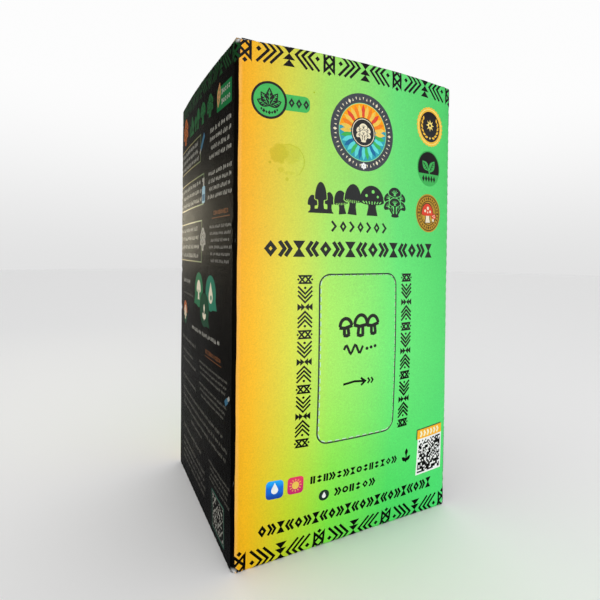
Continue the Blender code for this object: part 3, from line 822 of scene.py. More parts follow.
# ---------------------------------------------------------------- sheets of printed board
LONGEST = 5.0
CDT_GAP = 1e-6
SMALL = 1e-9


def refined(points):
    """A closed outline with no side longer than LONGEST."""
    out = []
    for (x0, y0), (x1, y1) in sides(points):
        parts = max(1, math.ceil(math.hypot(x1 - x0, y1 - y0) / LONGEST))
        out += [(x0 + (x1 - x0) * n / parts, y0 + (y1 - y0) * n / parts) for n in range(parts)]
    return out


def triangulated(coords, faces):
    """The mesh in outlines: its points and triangles, each triangle's outlines, each point's sources."""
    found = delaunay_2d_cdt([Vector(c) for c in coords], [], faces, 0, CDT_GAP)
    points = np.array([(v.x, v.y) for v in found[0]])
    return points, [tuple(face) for face in found[2]], found[5], found[3]


def partition(outline, holes, art, seeds):
    """Cut a flat sheet along the edges of its print. Returns its points, triangles and their inks."""
    coords, faces, inks = [], [], []
    for ink, points in [("ground", outline), *art, *[("hole", hole) for hole in holes]]:
        points = refined([(float(x), float(y)) for x, y in points])
        if area(points) < 0:
            points = points[::-1]
        faces.append(list(range(len(coords), len(coords) + len(points))))
        coords += points
        inks.append(ink)
    verts, cells, sources, _ = triangulated(coords + seeds, faces)
    triangles, chosen = [], []
    for face, origins in zip(cells, sources):
        ink = inks[max(origins, default=0)]
        if 0 in origins and ink != "hole":
            triangles.append(face)
            chosen.append(ink)
    used = sorted({i for face in triangles for i in face})
    index = {old: new for new, old in enumerate(used)}
    return verts[used], [tuple(index[i] for i in face) for face in triangles], chosen


def boundary_loops(triangles):
    """Closed loops of the sheet's free edges, in the triangles' own sense."""
    edges = dict.fromkeys(pair for a, b, c in triangles for pair in ((a, b), (b, c), (c, a)))
    after = {a: b for a, b in edges if (b, a) not in edges}
    loops = []
    while after:
        start = next(iter(after))
        loop = [start]
        here = after.pop(start)
        while here != start:
            loop.append(here)
            here = after.pop(here)
        loops.append(loop)
    return loops


def new_piece(name, mesh):
    piece = bpy.data.objects.new(name, mesh)
    bpy.context.scene.collection.objects.link(piece)
    return piece


def new_mesh(name, points, faces, *materials, smooth=True):
    mesh = bpy.data.meshes.new(name)
    mesh.from_pydata(points, [], faces)
    for material in materials:
        mesh.materials.append(material)
    mesh.polygons.foreach_set("use_smooth", [smooth] * len(faces))
    mesh.update()
    return mesh


def dress(piece, body, node):
    """The piece rides on a body and takes a node's place."""
    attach(piece, body)
    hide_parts(node)


def printed_sheet(name, outline, holes, art, seeds, outer, inner, wrap=None):
    """A closed sheet: print on its outer skin, plain inner skin, and cut edges between them."""
    verts, triangles, inks = partition(outline, holes, art, seeds)
    loops = boundary_loops(triangles)
    chains = sorted(loops, key=lambda loop: -abs(area([tuple(verts[i]) for i in loop])))
    chains[1:] = [loop[::-1] for loop in chains[1:]]
    chain = [i for part in chains for i in part]
    starts = np.cumsum([0] + [len(part) for part in chains])
    faces = [list(range(start, end)) for start, end in zip(starts, starts[1:])]
    back, cells, sources, merged = triangulated([tuple(verts[i]) for i in chain] + seeds, faces)
    cells = [face[::-1] for face, origins in zip(cells, sources) if list(origins) == [0]]
    shift = len(verts)
    ends = [(old, shift + new) for new, olds in enumerate(merged) for old in olds]
    twin = {chain[old]: new for old, new in ends if old < len(chain)}
    points = np.vstack([outer(*verts.T), inner(*back.T)])
    point_normals = np.vstack([surface_normals(outer, *verts.T), -surface_normals(inner, *back.T)])
    faces = triangles + [tuple(shift + i for i in face) for face in cells]
    inks = inks + ["kraft"] * len(cells)
    normals = [[point_normals[i] for i in face] for face in faces]
    for loop in loops:
        for a, b in sides(loop):
            if wrap and wrap(verts[a]) and wrap(verts[b]):
                continue
            side = np.cross(points[a] - points[b], points[twin[a]] - points[a])
            length = np.linalg.norm(side)
            side = side / length if length > SMALL else np.array((0.0, 0.0, 1.0))
            faces.append((b, a, twin[a], twin[b]))
            inks.append("edge")
            normals.append([side] * 4)
    if wrap:
        points, faces, inks, normals = joined(points, faces, inks, normals)
    names = sorted(set(inks))
    mesh = new_mesh(name, [tuple(p) for p in points * MM], faces, *[MATERIALS[ink] for ink in names])
    mesh.polygons.foreach_set("material_index", [names.index(ink) for ink in inks])
    mesh.normals_split_custom_set([tuple(n) for face in normals for n in face])
    mesh.update()
    return new_piece(name, mesh)


def joined(points, faces, inks, normals):
    """Merge points that lie in one spot. A face's repeated corners go, and so does one left with two."""
    spots = {}
    target = [spots.setdefault(tuple(round(float(c), 4) for c in p), i) for i, p in enumerate(points)]
    used = sorted(set(target))
    index = {old: new for new, old in enumerate(used)}
    kept = []
    for face, ink, corner_normals in zip(faces, inks, normals):
        corners = {}
        for i, normal in zip(face, corner_normals):
            corners.setdefault(index[target[i]], normal)
        if len(corners) > 2:
            kept.append((tuple(corners), ink, list(corners.values())))
    return points[used], *zip(*kept)


# ---------------------------------------------------------------- materials
def linear(colour):
    """A shader's colour, from one as a screen shows it, 0 to 255."""
    shares = [c / 255 for c in colour]
    return (*[c / 12.92 if c <= 0.04045 else ((c + 0.055) / 1.055) ** 2.4 for c in shares], 1.0)


class Value:
    """A node's output that sums can be written with. Each sum is one math node."""

    def __init__(self, nodes, socket):
        self.nodes, self.socket = nodes, socket

    def __add__(self, other):
        return self.nodes.math("ADD", self, other)

    def __sub__(self, other):
        return self.nodes.math("SUBTRACT", self, other)

    def __mul__(self, other):
        return self.nodes.math("MULTIPLY", self, other)

    def __abs__(self):
        return self.nodes.math("ABSOLUTE", self)

    def times_plus(self, factor, more):
        return self.nodes.math("MULTIPLY_ADD", self, factor, more)

    def most(self, other):
        return self.nodes.math("MAXIMUM", self, other)

    def eased(self, low, high, to_low=0.0, to_high=1.0):
        """An eased step from to_low at low to to_high at high."""
        values = (self, low, high, to_low, to_high)
        return self.nodes.made("ShaderNodeMapRange", values, interpolation_type="SMOOTHSTEP")


class Nodes:
    """Short calls for building a node tree."""

    def __init__(self, tree):
        self.tree = tree

    def put(self, socket, value):
        if isinstance(value, Value):
            self.tree.links.new(value.socket, socket)
        else:
            socket.default_value = value

    def feed(self, node, **inputs):
        for name, value in inputs.items():
            self.put(node.inputs[name.replace("_", " ")], value)

    def made(self, kind, values=(), output=0, inputs=None, **settings):
        """A new node's output, after its first inputs, its named inputs and its settings."""
        node = self.tree.nodes.new(kind)
        for name, value in settings.items():
            setattr(node, name, value)
        for socket, value in zip(node.inputs, values):
            self.put(socket, value)
        self.feed(node, **(inputs or {}))
        return Value(self, node.outputs[output])

    def math(self, operation, *values):
        return self.made("ShaderNodeMath", values, operation=operation)

    def noise(self, place, scale, detail=2.0, rough=0.5, stretch=None):
        if stretch:
            place = self.made("ShaderNodeMapping", inputs={"Scale": stretch, "Vector": place})
        inputs = {"Vector": place, "Scale": scale, "Detail": detail, "Roughness": rough}
        return self.made("ShaderNodeTexNoise", inputs=inputs)

    def mix(self, share, a, b, blend="MIX"):
        out = self.made("ShaderNodeMix", output=2, data_type="RGBA", blend_type=blend)
        for index, value in ((0, share), (6, a), (7, b)):
            self.put(out.socket.node.inputs[index], value)
        return out

    def gradient(self, share, stops):
        out = self.made("ShaderNodeValToRGB", (share,))
        elements = out.socket.node.color_ramp.elements
        while len(elements) < len(stops):
            elements.new(0.5)
        for element, (place, colour) in zip(elements, stops):
            element.position, element.color = place, linear(colour)
        return out

    def place(self):
        return self.made("ShaderNodeTexCoord", output="Object")

    def split(self, vector):
        node = self.made("ShaderNodeSeparateXYZ", (vector,)).socket.node
        return [Value(self, socket) for socket in node.outputs]

    def along(self, vector, direction):
        values = (vector, direction)
        return self.made("ShaderNodeVectorMath", values, output="Value", operation="DOT_PRODUCT")

    def bump(self, height, strength, distance, over=None):
        inputs = {"Strength": strength, "Distance": distance, "Height": height}
        if over:
            inputs["Normal"] = over
        return self.made("ShaderNodeBump", inputs=inputs)


def new_material(name, roughness=0.5, **inputs):
    """A material, its nodes and its shader, whose inputs are named with _ for a space."""
    made = bpy.data.materials.new(name)
    made.use_nodes = True
    nodes = Nodes(made.node_tree)
    shader = made.node_tree.nodes["Principled BSDF"]
    nodes.feed(shader, Roughness=roughness, **inputs)
    return made, nodes, shader


# Where the board is worn, in metres from the middle and up from the foot
FOLD_WORN = (0.0733, 0.0745)
OUTER_SKIN = (0.0733, 0.0736)
FOOT_RIM = (0.0009, 0.0002)
HEAD_RIM = (0.2853, 0.2857)
FOOT_CORNER = ((0.0716, 0.0744), (0.0038, 0.0008))
HEAD_CORNER = ((0.0722, 0.0745), (0.2834, 0.2856))
WALL_TOP = 0.28595
LID_FROM = 0.2861
LID_RIM = ((0.0733, 0.0739), (0.0740, 0.0749))


def finish_group():
    """What every ink on the board shares: mottling, worn folds and corners, uneven gloss and grain."""
    tree = bpy.data.node_groups.new("board_finish", "ShaderNodeTree")
    for name, kind in (("Mottle", "Float"), ("Wear", "Float"), ("Gloss", "Float"), ("Normal", "Vector")):
        tree.interface.new_socket(name, in_out="OUTPUT", socket_type=f"NodeSocket{kind}")
    nodes = Nodes(tree)
    place = nodes.place()
    x, y, z = nodes.split(place)
    fine = nodes.noise(place, 1250.0, 3.0, 0.6)
    cloud = nodes.noise(place, 45.0, 3.0, 0.55)
    mottle = (cloud - 0.5).times_plus(0.08, (fine - 0.5).times_plus(0.42, 1.0))
    wide, deep = abs(x), abs(y)
    streaks = nodes.noise(place, 700.0, 4.0, 0.65, (1.0, 1.0, 0.25))
    chance = streaks * 0.6 + nodes.noise(place, 60.0) * 0.5
    near, far = nodes.math("MINIMUM", wide, deep), wide.most(deep)
    below_lid = nodes.math("LESS_THAN", z, WALL_TOP)
    rubbed = chance.eased(0.685, 0.74, 0.0, 0.40) * near.eased(*FOLD_WORN)
    rim = z.eased(*FOOT_RIM).most(z.eased(*HEAD_RIM)) * below_lid * far.eased(*OUTER_SKIN)
    frayed = chance.eased(0.56, 0.66) * rim
    foot = near.eased(*FOOT_CORNER[0]) * z.eased(*FOOT_CORNER[1])
    head = near.eased(*HEAD_CORNER[0]) * z.eased(*HEAD_CORNER[1]) * below_lid
    corner = chance.eased(0.46, 0.54) * foot.most(head)
    lid_rim = wide.eased(*LID_RIM[0]).most(deep.eased(*LID_RIM[1]))
    lid_rim = lid_rim * nodes.math("GREATER_THAN", z, LID_FROM)
    wear = rubbed.most(frayed).most(corner.most(lid_rim * chance.eased(0.52, 0.64)))
    height = nodes.noise(place, 2600.0, 3.0, 0.6) * 0.5 + fine * 0.8 - wear * 1.5
    gloss = (cloud - 0.5).times_plus(0.16, 0.44) + wear * 0.4
    out = tree.nodes.new("NodeGroupOutput")
    nodes.feed(out, Mottle=mottle, Wear=wear, Gloss=gloss, Normal=nodes.bump(height, 0.20, 0.00010))
    return tree


def ink_material(name, group, colour_of, specular=0.18, smooth=0.0, grit=0.0):
    """A printed ink. colour_of builds its colour, and the board's shared finish lies over it."""
    made, nodes, shader = new_material(name, Specular_IOR_Level=specular)
    finish = nodes.made("ShaderNodeGroup", node_tree=group).socket.node
    mottle, wear, gloss, normal = [Value(nodes, socket) for socket in finish.outputs]
    gray = nodes.made("ShaderNodeCombineColor", (mottle,) * 3)
    colour = nodes.mix(1.0, colour_of(nodes), gray, "MULTIPLY")
    if grit:
        normal = nodes.bump(nodes.noise(nodes.place(), 420.0, 5.0, 0.75), grit, 0.0009, normal)
    colour = nodes.mix(wear, colour, linear((242, 242, 240)))
    nodes.feed(shader, Base_Color=colour, Roughness=gloss - smooth, Normal=normal)
    return made


def plain(colour):
    """An ink of one hue that drifts a little in strength."""
    def build(nodes):
        first, second = [min(255, c * 1.03 + 2) for c in colour], [c * 0.95 for c in colour]
        return nodes.mix(nodes.noise(nodes.place(), 25.0), linear(first), linear(second))
    return build


def graded(*stops):
    """A dark ink that is near black at the base and greyer higher up the wall."""
    def build(nodes):
        return nodes.gradient(nodes.math("DIVIDE", nodes.split(nodes.place())[2], WALL * MM), stops)
    return build


def slant(colours, direction, low, high):
    """An ink that turns from colour to colour along a direction."""
    stops = [(n / (len(colours) - 1), colour) for n, colour in enumerate(colours)]

    def build(nodes):
        return nodes.gradient(nodes.along(nodes.place(), direction).eased(low, high), stops)
    return build


GROUND_HIGH = (
    (0.0, (244, 172, 22)), (0.06, (246, 188, 34)), (0.19, (216, 219, 74)),
    (0.34, (168, 234, 102)), (0.66, (108, 233, 122)), (1.0, (82, 218, 110)),
)
GROUND_LOW = (
    (0.0, (232, 168, 2)), (0.05, (236, 180, 4)), (0.20, (190, 212, 32)),
    (0.37, (124, 229, 64)), (0.66, (76, 221, 97)), (1.0, (70, 225, 114)),
)


def ground_colour(nodes):
    """The wall's ground, from orange at one fold to green at the other, deeper towards the base, and with
    painted shade high up.
    """
    place = nodes.place()
    x, y, z = nodes.split(place)
    drift = nodes.noise(place, 9.0)
    across = (drift - 0.5).times_plus(0.05, x.times_plus(1 / (2 * HALF * MM), 0.5))
    low, high = nodes.gradient(across, GROUND_LOW), nodes.gradient(across, GROUND_HIGH)
    colour = nodes.mix(z.eased(0.005, 0.120), low, high)
    # Painted shade: the upper wall is darkened a little, its green most
    colour = nodes.mix(z.eased(0.120, 0.225), colour, (0.93, 0.87, 0.95, 1.0), "MULTIPLY")
    # The crease beside the dark wall is paler: partly rubbed ink, partly a painted highlight where the
    # fold catches light
    rubbed = x.eased(-0.0712, -0.0735) * y.eased(-0.060, -0.066)
    rubbed = rubbed * nodes.noise(place, 160.0, 3.0, 0.5, (1, 1, 0.3))
    colour = nodes.mix(rubbed * 0.5, colour, linear((255, 206, 140)))
    return nodes.mix(stain_mask(nodes, place, x, y, z), colour, (0.72, 0.74, 0.08, 1.0), "MULTIPLY")


# Stains: place across and up, half their width and height, and strength
BLOTS = (
    (-0.0519, 0.2270, 0.0052, 0.0053, 0.62), (-0.0462, 0.2272, 0.0062, 0.0056, 0.30),
    (-0.0512, 0.2180, 0.0018, 0.0015, 0.42), (-0.0468, 0.2166, 0.0036, 0.0010, 0.26),
    (-0.0573, 0.2218, 0.0008, 0.0008, 0.75), (-0.0322, 0.2630, 0.0005, 0.0005, 1.00),
    (-0.0478, 0.2132, 0.0009, 0.0010, 0.55), (0.0340, 0.1120, 0.0006, 0.0005, 0.60),
)
DRIED_RING = (-0.0468, 0.2232, 0.0088, 0.0090)


def stain_mask(nodes, place, x, y, z):
    """Old marks on the front wall: a faint ochre blot, the ring it dried in, and a few specks."""
    wobble = nodes.noise(place, 260.0, 3.0, 0.6)

    def square(value, middle, radius):
        away = (value - middle) * (1 / radius)
        return away * away

    def distance(cx, cz, rx, rz, uneven):
        return square(x, cx, rx) + square(z, cz, rz) + (wobble - 0.5) * uneven

    total = 0.0
    for *spot, share in BLOTS:
        total = nodes.math("MAXIMUM", total, distance(*spot, 1.9).eased(1.25, 0.65) * share)
    ring = abs(distance(*DRIED_RING, 0.45) - 1.0).eased(0.12, 0.02, 0.0, 0.62)
    total = total.most(ring * (x + z).eased(0.1700, 0.1790))
    return total * nodes.math("LESS_THAN", y, 0.0)


INKS = {
    "cream": (236, 226, 196), "white": (240, 241, 240), "mint": (150, 226, 150), "teal": (52, 158, 176),
    "orange": (250, 158, 20), "amber": (255, 184, 22), "ivory": (255, 244, 206), "slate": (68, 72, 78),
    "yellow": (236, 196, 84), "red": (222, 72, 50), "badge_green": (66, 178, 88), "gold": (240, 188, 62),
    "pale_gold": (252, 224, 124), "ochre": (184, 142, 46), "umber": (84, 62, 26), "jet": (28, 26, 27),
    "bottle": (8, 40, 30), "olive": (34, 78, 44), "orange_deep": (238, 128, 36), "aqua": (96, 214, 214),
    "blue_deep": (34, 108, 156), "ochre_light": (196, 154, 56), "dash": (190, 236, 196),
    "line": (38, 58, 52),
}
SIDE_INKS = {
    "dark_green": (24, 66, 32), "rust": (184, 98, 40), "rust_dim": (124, 74, 36), "skin": (206, 146, 96),
    "badge_green_dark": (22, 108, 56), "off_white": (168, 166, 156), "grey": (106, 104, 96),
    "grey_light": (130, 128, 122), "steel_blue": (58, 108, 136), "pale_blue": (150, 190, 208),
    "bubble_green": (42, 118, 76), "bubble_teal": (42, 126, 98), "bubble_dark": (22, 72, 46),
    "teal_line": (24, 96, 78), "leaf_green": (34, 100, 52),
}
# The black ink, darker towards the base of the walls: painted shade
BLACK_SHADED_LOW = ((0.0, (3, 3, 4)), (0.20, (6, 5, 5)), (0.45, (12, 10, 8)), (1.0, (12, 10, 8)))
CHARCOAL = (
    (0.0, (2, 2, 2)), (0.15, (4, 5, 4)), (0.34, (22, 24, 20)), (0.42, (44, 46, 42)), (0.52, (47, 48, 45)),
    (0.86, (54, 55, 57)), (0.94, (38, 35, 38)), (1.0, (28, 25, 27)),
)
BLUES = ((0, 62, 160), (0, 100, 208), (0, 112, 220), (24, 168, 250))
PINKS = ((196, 30, 104), (226, 52, 96))
GREENS = ((48, 110, 52), (150, 128, 52))


def make_inks():
    """Every ink: its colour, its shine, how much smoother than the board it is, and its grit."""
    group = finish_group()
    recipes = {name: (plain(colour),) for name, colour in INKS.items()}
    recipes |= {name: (plain(colour), 0.01) for name, colour in SIDE_INKS.items()}
    recipes["black"] = (graded(*BLACK_SHADED_LOW), 0.002, 0.12, 1.0)
    recipes["charcoal"] = (graded(*CHARCOAL), 0.03)
    recipes["ground"] = (ground_colour,)
    recipes["blue"] = (slant(BLUES, (0, 0, 1), 0.0365, 0.0478),)
    recipes["pink"] = (slant(PINKS, (0, 0, 1), 0.0373, 0.0478),)
    recipes["outline"] = (slant(GREENS, (0, 1, 0), -0.04, 0.06),)
    return {name: ink_material(f"ink_{name}", group, *recipe) for name, recipe in recipes.items()}


def kraft_material():
    """Bare brown liner: fibres, flecks and the faint ribs of the flutes under it."""
    made, nodes, shader = new_material("kraft_liner", Specular_IOR_Level=0.25)
    place = nodes.place()
    fibre = nodes.noise(place, 1500.0, 4.0, 0.7, (1.0, 1.0, 0.15))
    cloud = nodes.noise(place, 70.0, 3.0, 0.6)
    fleck = nodes.noise(place, 1100.0, 1.0, 0.5)
    browns = ((0.3, (150, 118, 80)), (0.5, (176, 142, 100)), (0.72, (194, 162, 120)))
    colour = nodes.gradient(fibre, browns)
    colour = nodes.mix(cloud.eased(0.35, 0.7, 0.0, 0.35), colour, linear((160, 124, 84)))
    colour = nodes.mix(fleck.eased(0.70, 0.76, 0.0, 0.5), colour, linear((96, 70, 44)))
    x, y, _ = nodes.split(place)
    inputs = {"Vector": nodes.made("ShaderNodeCombineXYZ", (x + y,)), "Scale": 100.0}
    settings = {"wave_type": "BANDS", "bands_direction": "X", "wave_profile": "SIN"}
    ribs = nodes.made("ShaderNodeTexWave", output=1, inputs=inputs, **settings)
    normal = nodes.bump(fibre * 0.5 + ribs, 0.35, 0.0002)
    nodes.feed(shader, Base_Color=colour, Roughness=cloud.eased(0.2, 0.8, 0.78, 0.92), Normal=normal)
    return made


def flute_material(wavelength=0.0026):
    """The board's cut edge: two liners with the wave of the medium between them, the hollows painted
    darker as shade.
    """
    made, nodes, shader = new_material("board_edge", Specular_IOR_Level=0.2)
    place = nodes.place()
    x, y, _ = nodes.split(place)
    wave = nodes.math("SINE", (x + y) * (2 * math.pi / wavelength))
    fibre = nodes.noise(place, 1800.0, 3.0, 0.6)
    # Painted shade: the bands where the wave is low, the flutes' hollows, are darker
    colour = nodes.mix(wave.eased(-0.4, 0.5), linear((126, 98, 68)), linear((180, 150, 110)))
    colour = nodes.mix(fibre.eased(0.3, 0.75, 0.0, 0.5), colour, linear((204, 180, 146)))
    normal = nodes.bump(wave * 0.5 + fibre, 0.5, 0.0003)
    nodes.feed(shader, Base_Color=colour, Roughness=fibre.eased(0.2, 0.8, 0.82, 0.96), Normal=normal)
    return made


MATERIALS = make_inks() | {"kraft": kraft_material(), "edge": flute_material()}


# ---------------------------------------------------------------- the sleeve and its window panel
SLEEVE_LEFT, SLEEVE_RIGHT = -1.5 * PITCH, 2.5 * PITCH
WINDOW = (-28.7, 23.1, 64.5, 160.7)
WINDOW_R = 6.2
CORNER_STEPS = 10
# The perforation: the cut's width, and the paper ties' spacing, width and reach over it
CUT = 0.26
TIE_EVERY = 4.6
TIE = 1.1
TIE_OUT = CUT - 0.02
# The printed dashes: half their length, and their widths at the left and the foot, and elsewhere
DASH = 1.3
DASH_WIDTHS = (0.62, 0.28)
# The thin line printed round the window, a little off the cut to the left: its outer and inner edge
PRINTED_LINE = (
    ("line", -29.45, 23.75, 63.8, 161.35, 7.2, CORNER_STEPS),
    ("ground", -28.62, 22.62, 64.65, 160.20, WINDOW_R, CORNER_STEPS),
)
# Where the front wall's ground starts and ends
GROUND_LEFT, GROUND_RIGHT = -73.6, 72.85


def lifted(points, wall=FRONT):
    """An outline on a wall, put at its place round the carton and up the board."""
    return [(x + wall * PITCH, z + LIFT) for x, z in points]


def on_wall(wall, shapes):
    return [(ink, lifted(points, wall)) for ink, points in shapes]


def grid_seeds(left, right, low, high, step_x, step_z, keep=lambda place: True):
    """Points of an even grid, without its edges, where keep allows them."""
    columns, rows = round((right - left) / step_x), round((high - low) / step_z)
    across = [left + (right - left) * i / columns for i in range(1, columns)]
    up = [low + (high - low) * j / rows for j in range(1, rows)]
    return [(x, z) for x in across for z in up if keep((x, z))]


def window_outline(inset):
    left, right, low, high = WINDOW
    corner = WINDOW_R - inset
    return box(left + inset, right - inset, low + inset, high - inset, corner, CORNER_STEPS)


def walked(points):
    """Each side of a closed outline: its start, its direction and its length."""
    for (x0, z0), (x1, z1) in sides(points):
        length = math.hypot(x1 - x0, z1 - z0)
        yield x0, z0, (x1 - x0) / length, (z1 - z0) / length, length


def along_outline(points, spacing):
    """Evenly spaced places along a closed outline, each with the direction of its side."""
    out = []
    carried = 0.0
    for x, z, dx, dz, length in walked(points):
        place = spacing - carried
        while place <= length:
            out.append((x + dx * place, z + dz * place, dx, dz))
            place += spacing
        carried = (carried + length) % spacing
    return out


def dark_edges(steps=48):
    """Black from each end of the sheet to the front wall's ground, with a slightly wavy edge."""
    top = V_TOP + 2
    heights = [-2 + (top + 2) * step / steps for step in range(steps + 1)]
    wander = [0.10 * math.sin(z / 9.3) + 0.05 * math.sin(z / 3.1 + 1.0) for z in heights]
    swelling = [1.1 * math.exp(-(((z - 97) / 22) ** 2)) for z in heights]
    left = [(GROUND_LEFT + w, z) for w, z in zip(wander, heights)]
    right = [(GROUND_RIGHT + s + w, z) for s, w, z in zip(swelling, wander, heights)]
    ends = (SLEEVE_LEFT - 1, 1.5 * PITCH)
    return [("black", [(end, -2), *edge, (end, top)]) for end, edge in zip(ends, (left, right))]


def wall_art():
    """The whole print, in order: grounds, then ornaments."""
    prints = ((FRONT, front_print()), (LEFT, left_print()), (RIGHT, right_print()), (REAR, rear_print()))
    return dark_edges() + [shape for wall, shapes in prints for shape in on_wall(wall, shapes)]


def fold_lines(rows=48, steps=3):
    """Fixed columns of points that keep each fold round."""
    seeds = []
    for k in (LEFT, FRONT, RIGHT, REAR):
        for end in (-1, 1):
            for step in range(steps + 1):
                t = k * PITCH + end * (FLAT + FOLD * math.pi / 4 * step / steps)
                if min(abs(t - SLEEVE_LEFT), abs(t - SLEEVE_RIGHT)) >= 0.01:
                    seeds += [(t, V_TOP * row / rows) for row in range(1, rows)]
    return seeds


def off_folds(place):
    return abs(place[0] - round(place[0] / PITCH) * PITCH) < FLAT - 2


def inner_skin(t, v):
    return sleeve(t, v, BOARD)


# Fixed points of the skin: the step of their grid, and their rows near the foot and the rim
GRID = 6.1
EDGE_ROWS = (0.5, 1.0, 1.5, V_TOP - 0.3, V_TOP - 0.8)


def make_sleeve():
    outline = box(SLEEVE_LEFT, SLEEVE_RIGHT, 0.0, V_TOP)
    hole = lifted(window_outline(0.0))
    art = wall_art() + on_wall(FRONT, panel(*PRINTED_LINE[0]))
    seeds = grid_seeds(SLEEVE_LEFT, SLEEVE_RIGHT, 0.0, V_TOP, GRID, GRID, keep=off_folds) + fold_lines()
    columns = np.arange(SLEEVE_LEFT + 3, SLEEVE_RIGHT - 2, 3.0)
    seeds += [(float(t), v) for t in columns for v in EDGE_ROWS]

    def ends(place):
        return min(abs(place[0] - SLEEVE_LEFT), abs(place[0] - SLEEVE_RIGHT)) < 1e-6

    piece = printed_sheet("carton_print", outline, [hole], art, seeds, sleeve, inner_skin, ends)
    dress(piece, "carton", "carton_sleeve")


def on_cut(ink, x, z, dx, dz, half, inner, outer):
    """A small rectangle across the cut's line, from inner to outer along its outward direction."""
    corners = ((-half, inner), (half, inner), (half, outer), (-half, outer))
    return (ink, [(x + dx * along + dz * away, z + dz * along - dx * away) for along, away in corners])


def notched(points):
    """The panel's outline: the cut line, with a tie reaching across it at every place."""
    half = TIE / 2
    out = []
    next_tie, travelled = TIE_EVERY, 0.0
    for x, z, dx, dz, length in walked(points):
        out.append((x, z))
        while next_tie <= travelled + length:
            at = next_tie - travelled
            if half < at < length - half:
                for share, away in ((-1, 0), (-0.8, TIE_OUT), (0.8, TIE_OUT), (1, 0)):
                    along = at + half * share
                    out.append((x + dx * along + dz * away, z + dz * along - dx * away))
            next_tie += TIE_EVERY
        travelled += length
    return out


def make_window_panel():
    """The tear-out panel, with paper ties left across the perforation."""
    base = window_outline(CUT)
    art = panel(*PRINTED_LINE[0]) + panel(*PRINTED_LINE[1]) + front_print()
    art += [on_cut("ground", *place, TIE / 2, -0.25, TIE_OUT) for place in along_outline(base, TIE_EVERY)]
    for x, z, dx, dz in along_outline(base, TIE_EVERY / 2)[::2]:
        wide = DASH_WIDTHS[0 if dz < -0.9 or dx > 0.9 else 1]
        art.append(on_cut("dash", x, z, dx, dz, DASH, -wide, 0.02))
    left, right, low, high = WINDOW
    seeds = grid_seeds(left, right, low + LIFT, high + LIFT, 5.2, 5.4)
    art, outline = on_wall(FRONT, art), lifted(notched(base))
    piece = printed_sheet("window_print", outline, [], art, seeds, sleeve, inner_skin)
    dress(piece, "carton", "window_panel")


# ---------------------------------------------------------------- lid, tuck flap and dust flaps
CREASE_R = BOARD / 2
CREASE_ARC = CREASE_R * math.pi / 2
CREASE_ROWS = (0.3, 0.6, 0.9, 1.17)
CREASE_GAP = 0.45
# A flap's soft waves: how high, how long, and how far from the crease they come in
WAVINESS = (0.10, 37.0, 20)
# Its fixed points: the step of their grid, and how far they keep from its edges
FLAP_GRID = 6.0
FLAP_MARGIN = 1.5
LID_Z = 287.0
LID_HALF = 74.0
LID_HINGE_Y = 74.25
TUCK_CREASE_Y = -72.25
TUCK_LEAN = 98.0
TUCK_HALF = 71.5
TUCK_CORNER = 12.0
TUCK_LENGTH = 28.0
DUST_X, DUST_Z = 72.3, 285.05


def turned(x=0.0, z=0.0):
    """A rotation about X, then about Z, in degrees."""
    return np.array(Matrix.Rotation(math.radians(z), 3, "Z") @ Matrix.Rotation(math.radians(x), 3, "X"))


def board_face(spot, turn, side):
    """One face of a flat board. u runs along the crease; v is 0 on the crease and falls away from it."""
    high, size, fade = WAVINESS

    def place(u, v):
        u, v = np.asarray(u, float), np.asarray(v, float)
        lean = np.clip(-v / CREASE_R, 0, math.pi / 2)
        y = np.where(-v < CREASE_ARC, CREASE_R * np.cos(lean), v + CREASE_ARC)
        z = side * np.where(-v < CREASE_ARC, CREASE_R * np.sin(lean), CREASE_R)
        z = z + high * rough_field(u, v, 0 * u, size, spot[0]) * np.clip(-v / fade, 0, 1)
        return np.column_stack([u, y, z]) @ turn.T + np.array(spot)
    return place


def make_flap(name, node, outline, spot, turn, art=()):
    """A flat flap, printed black outside, with its crease edge on v = 0."""
    outline = [(u, y - CREASE_ARC if y < CREASE_R else 0.0) for u, y in outline]
    low, left, right = min(v for _, v in outline), min(outline)[0], max(outline)[0]
    black = panel("black", left - 1, right + 1, low - 1, 1)

    def held(place):
        x, z = place
        hits = 0
        for (x0, z0), (x1, z1) in sides(outline):
            if (z0 > z) != (z1 > z):
                hits += x < x0 + (z - z0) / (z1 - z0) * (x1 - x0)
        return hits % 2 == 1 and min(abs(x - left), abs(right - x), abs(z - low), abs(z)) > FLAP_MARGIN

    seeds = grid_seeds(left, right, low, 0.0, FLAP_GRID, FLAP_GRID, keep=held)
    columns = np.arange(left + 2.0, right - 1.0, 4.0)
    seeds += [(float(u), -row) for row in CREASE_ROWS for u in columns]
    art = [*black, *art]
    outer, inner = board_face(spot, turn, 1), board_face(spot, turn, -1)
    piece = printed_sheet(name, outline, [], art, seeds, outer, inner, lambda place: place[1] > -1e-6)
    dress(piece, node, node)


def lid_art(length):
    """Ornaments on the top panel: a band along its front and rear, and a rosette in the middle."""
    strip = mirrored_down(border("dark_green", left=-75, right=75))
    art = [(ink, [(x, z - length + 2.0) for x, z in points]) for ink, points in strip]
    art += [(ink, [(x, -z - 3.0) for x, z in points]) for ink, points in strip]
    art += moved(roundel(33.0), 0, -length / 2)
    for side in (-1, 1):
        art += moved(ornament_column("dark_green", 0.0, top=45.8), side * 55.0, -length / 2)
    return art


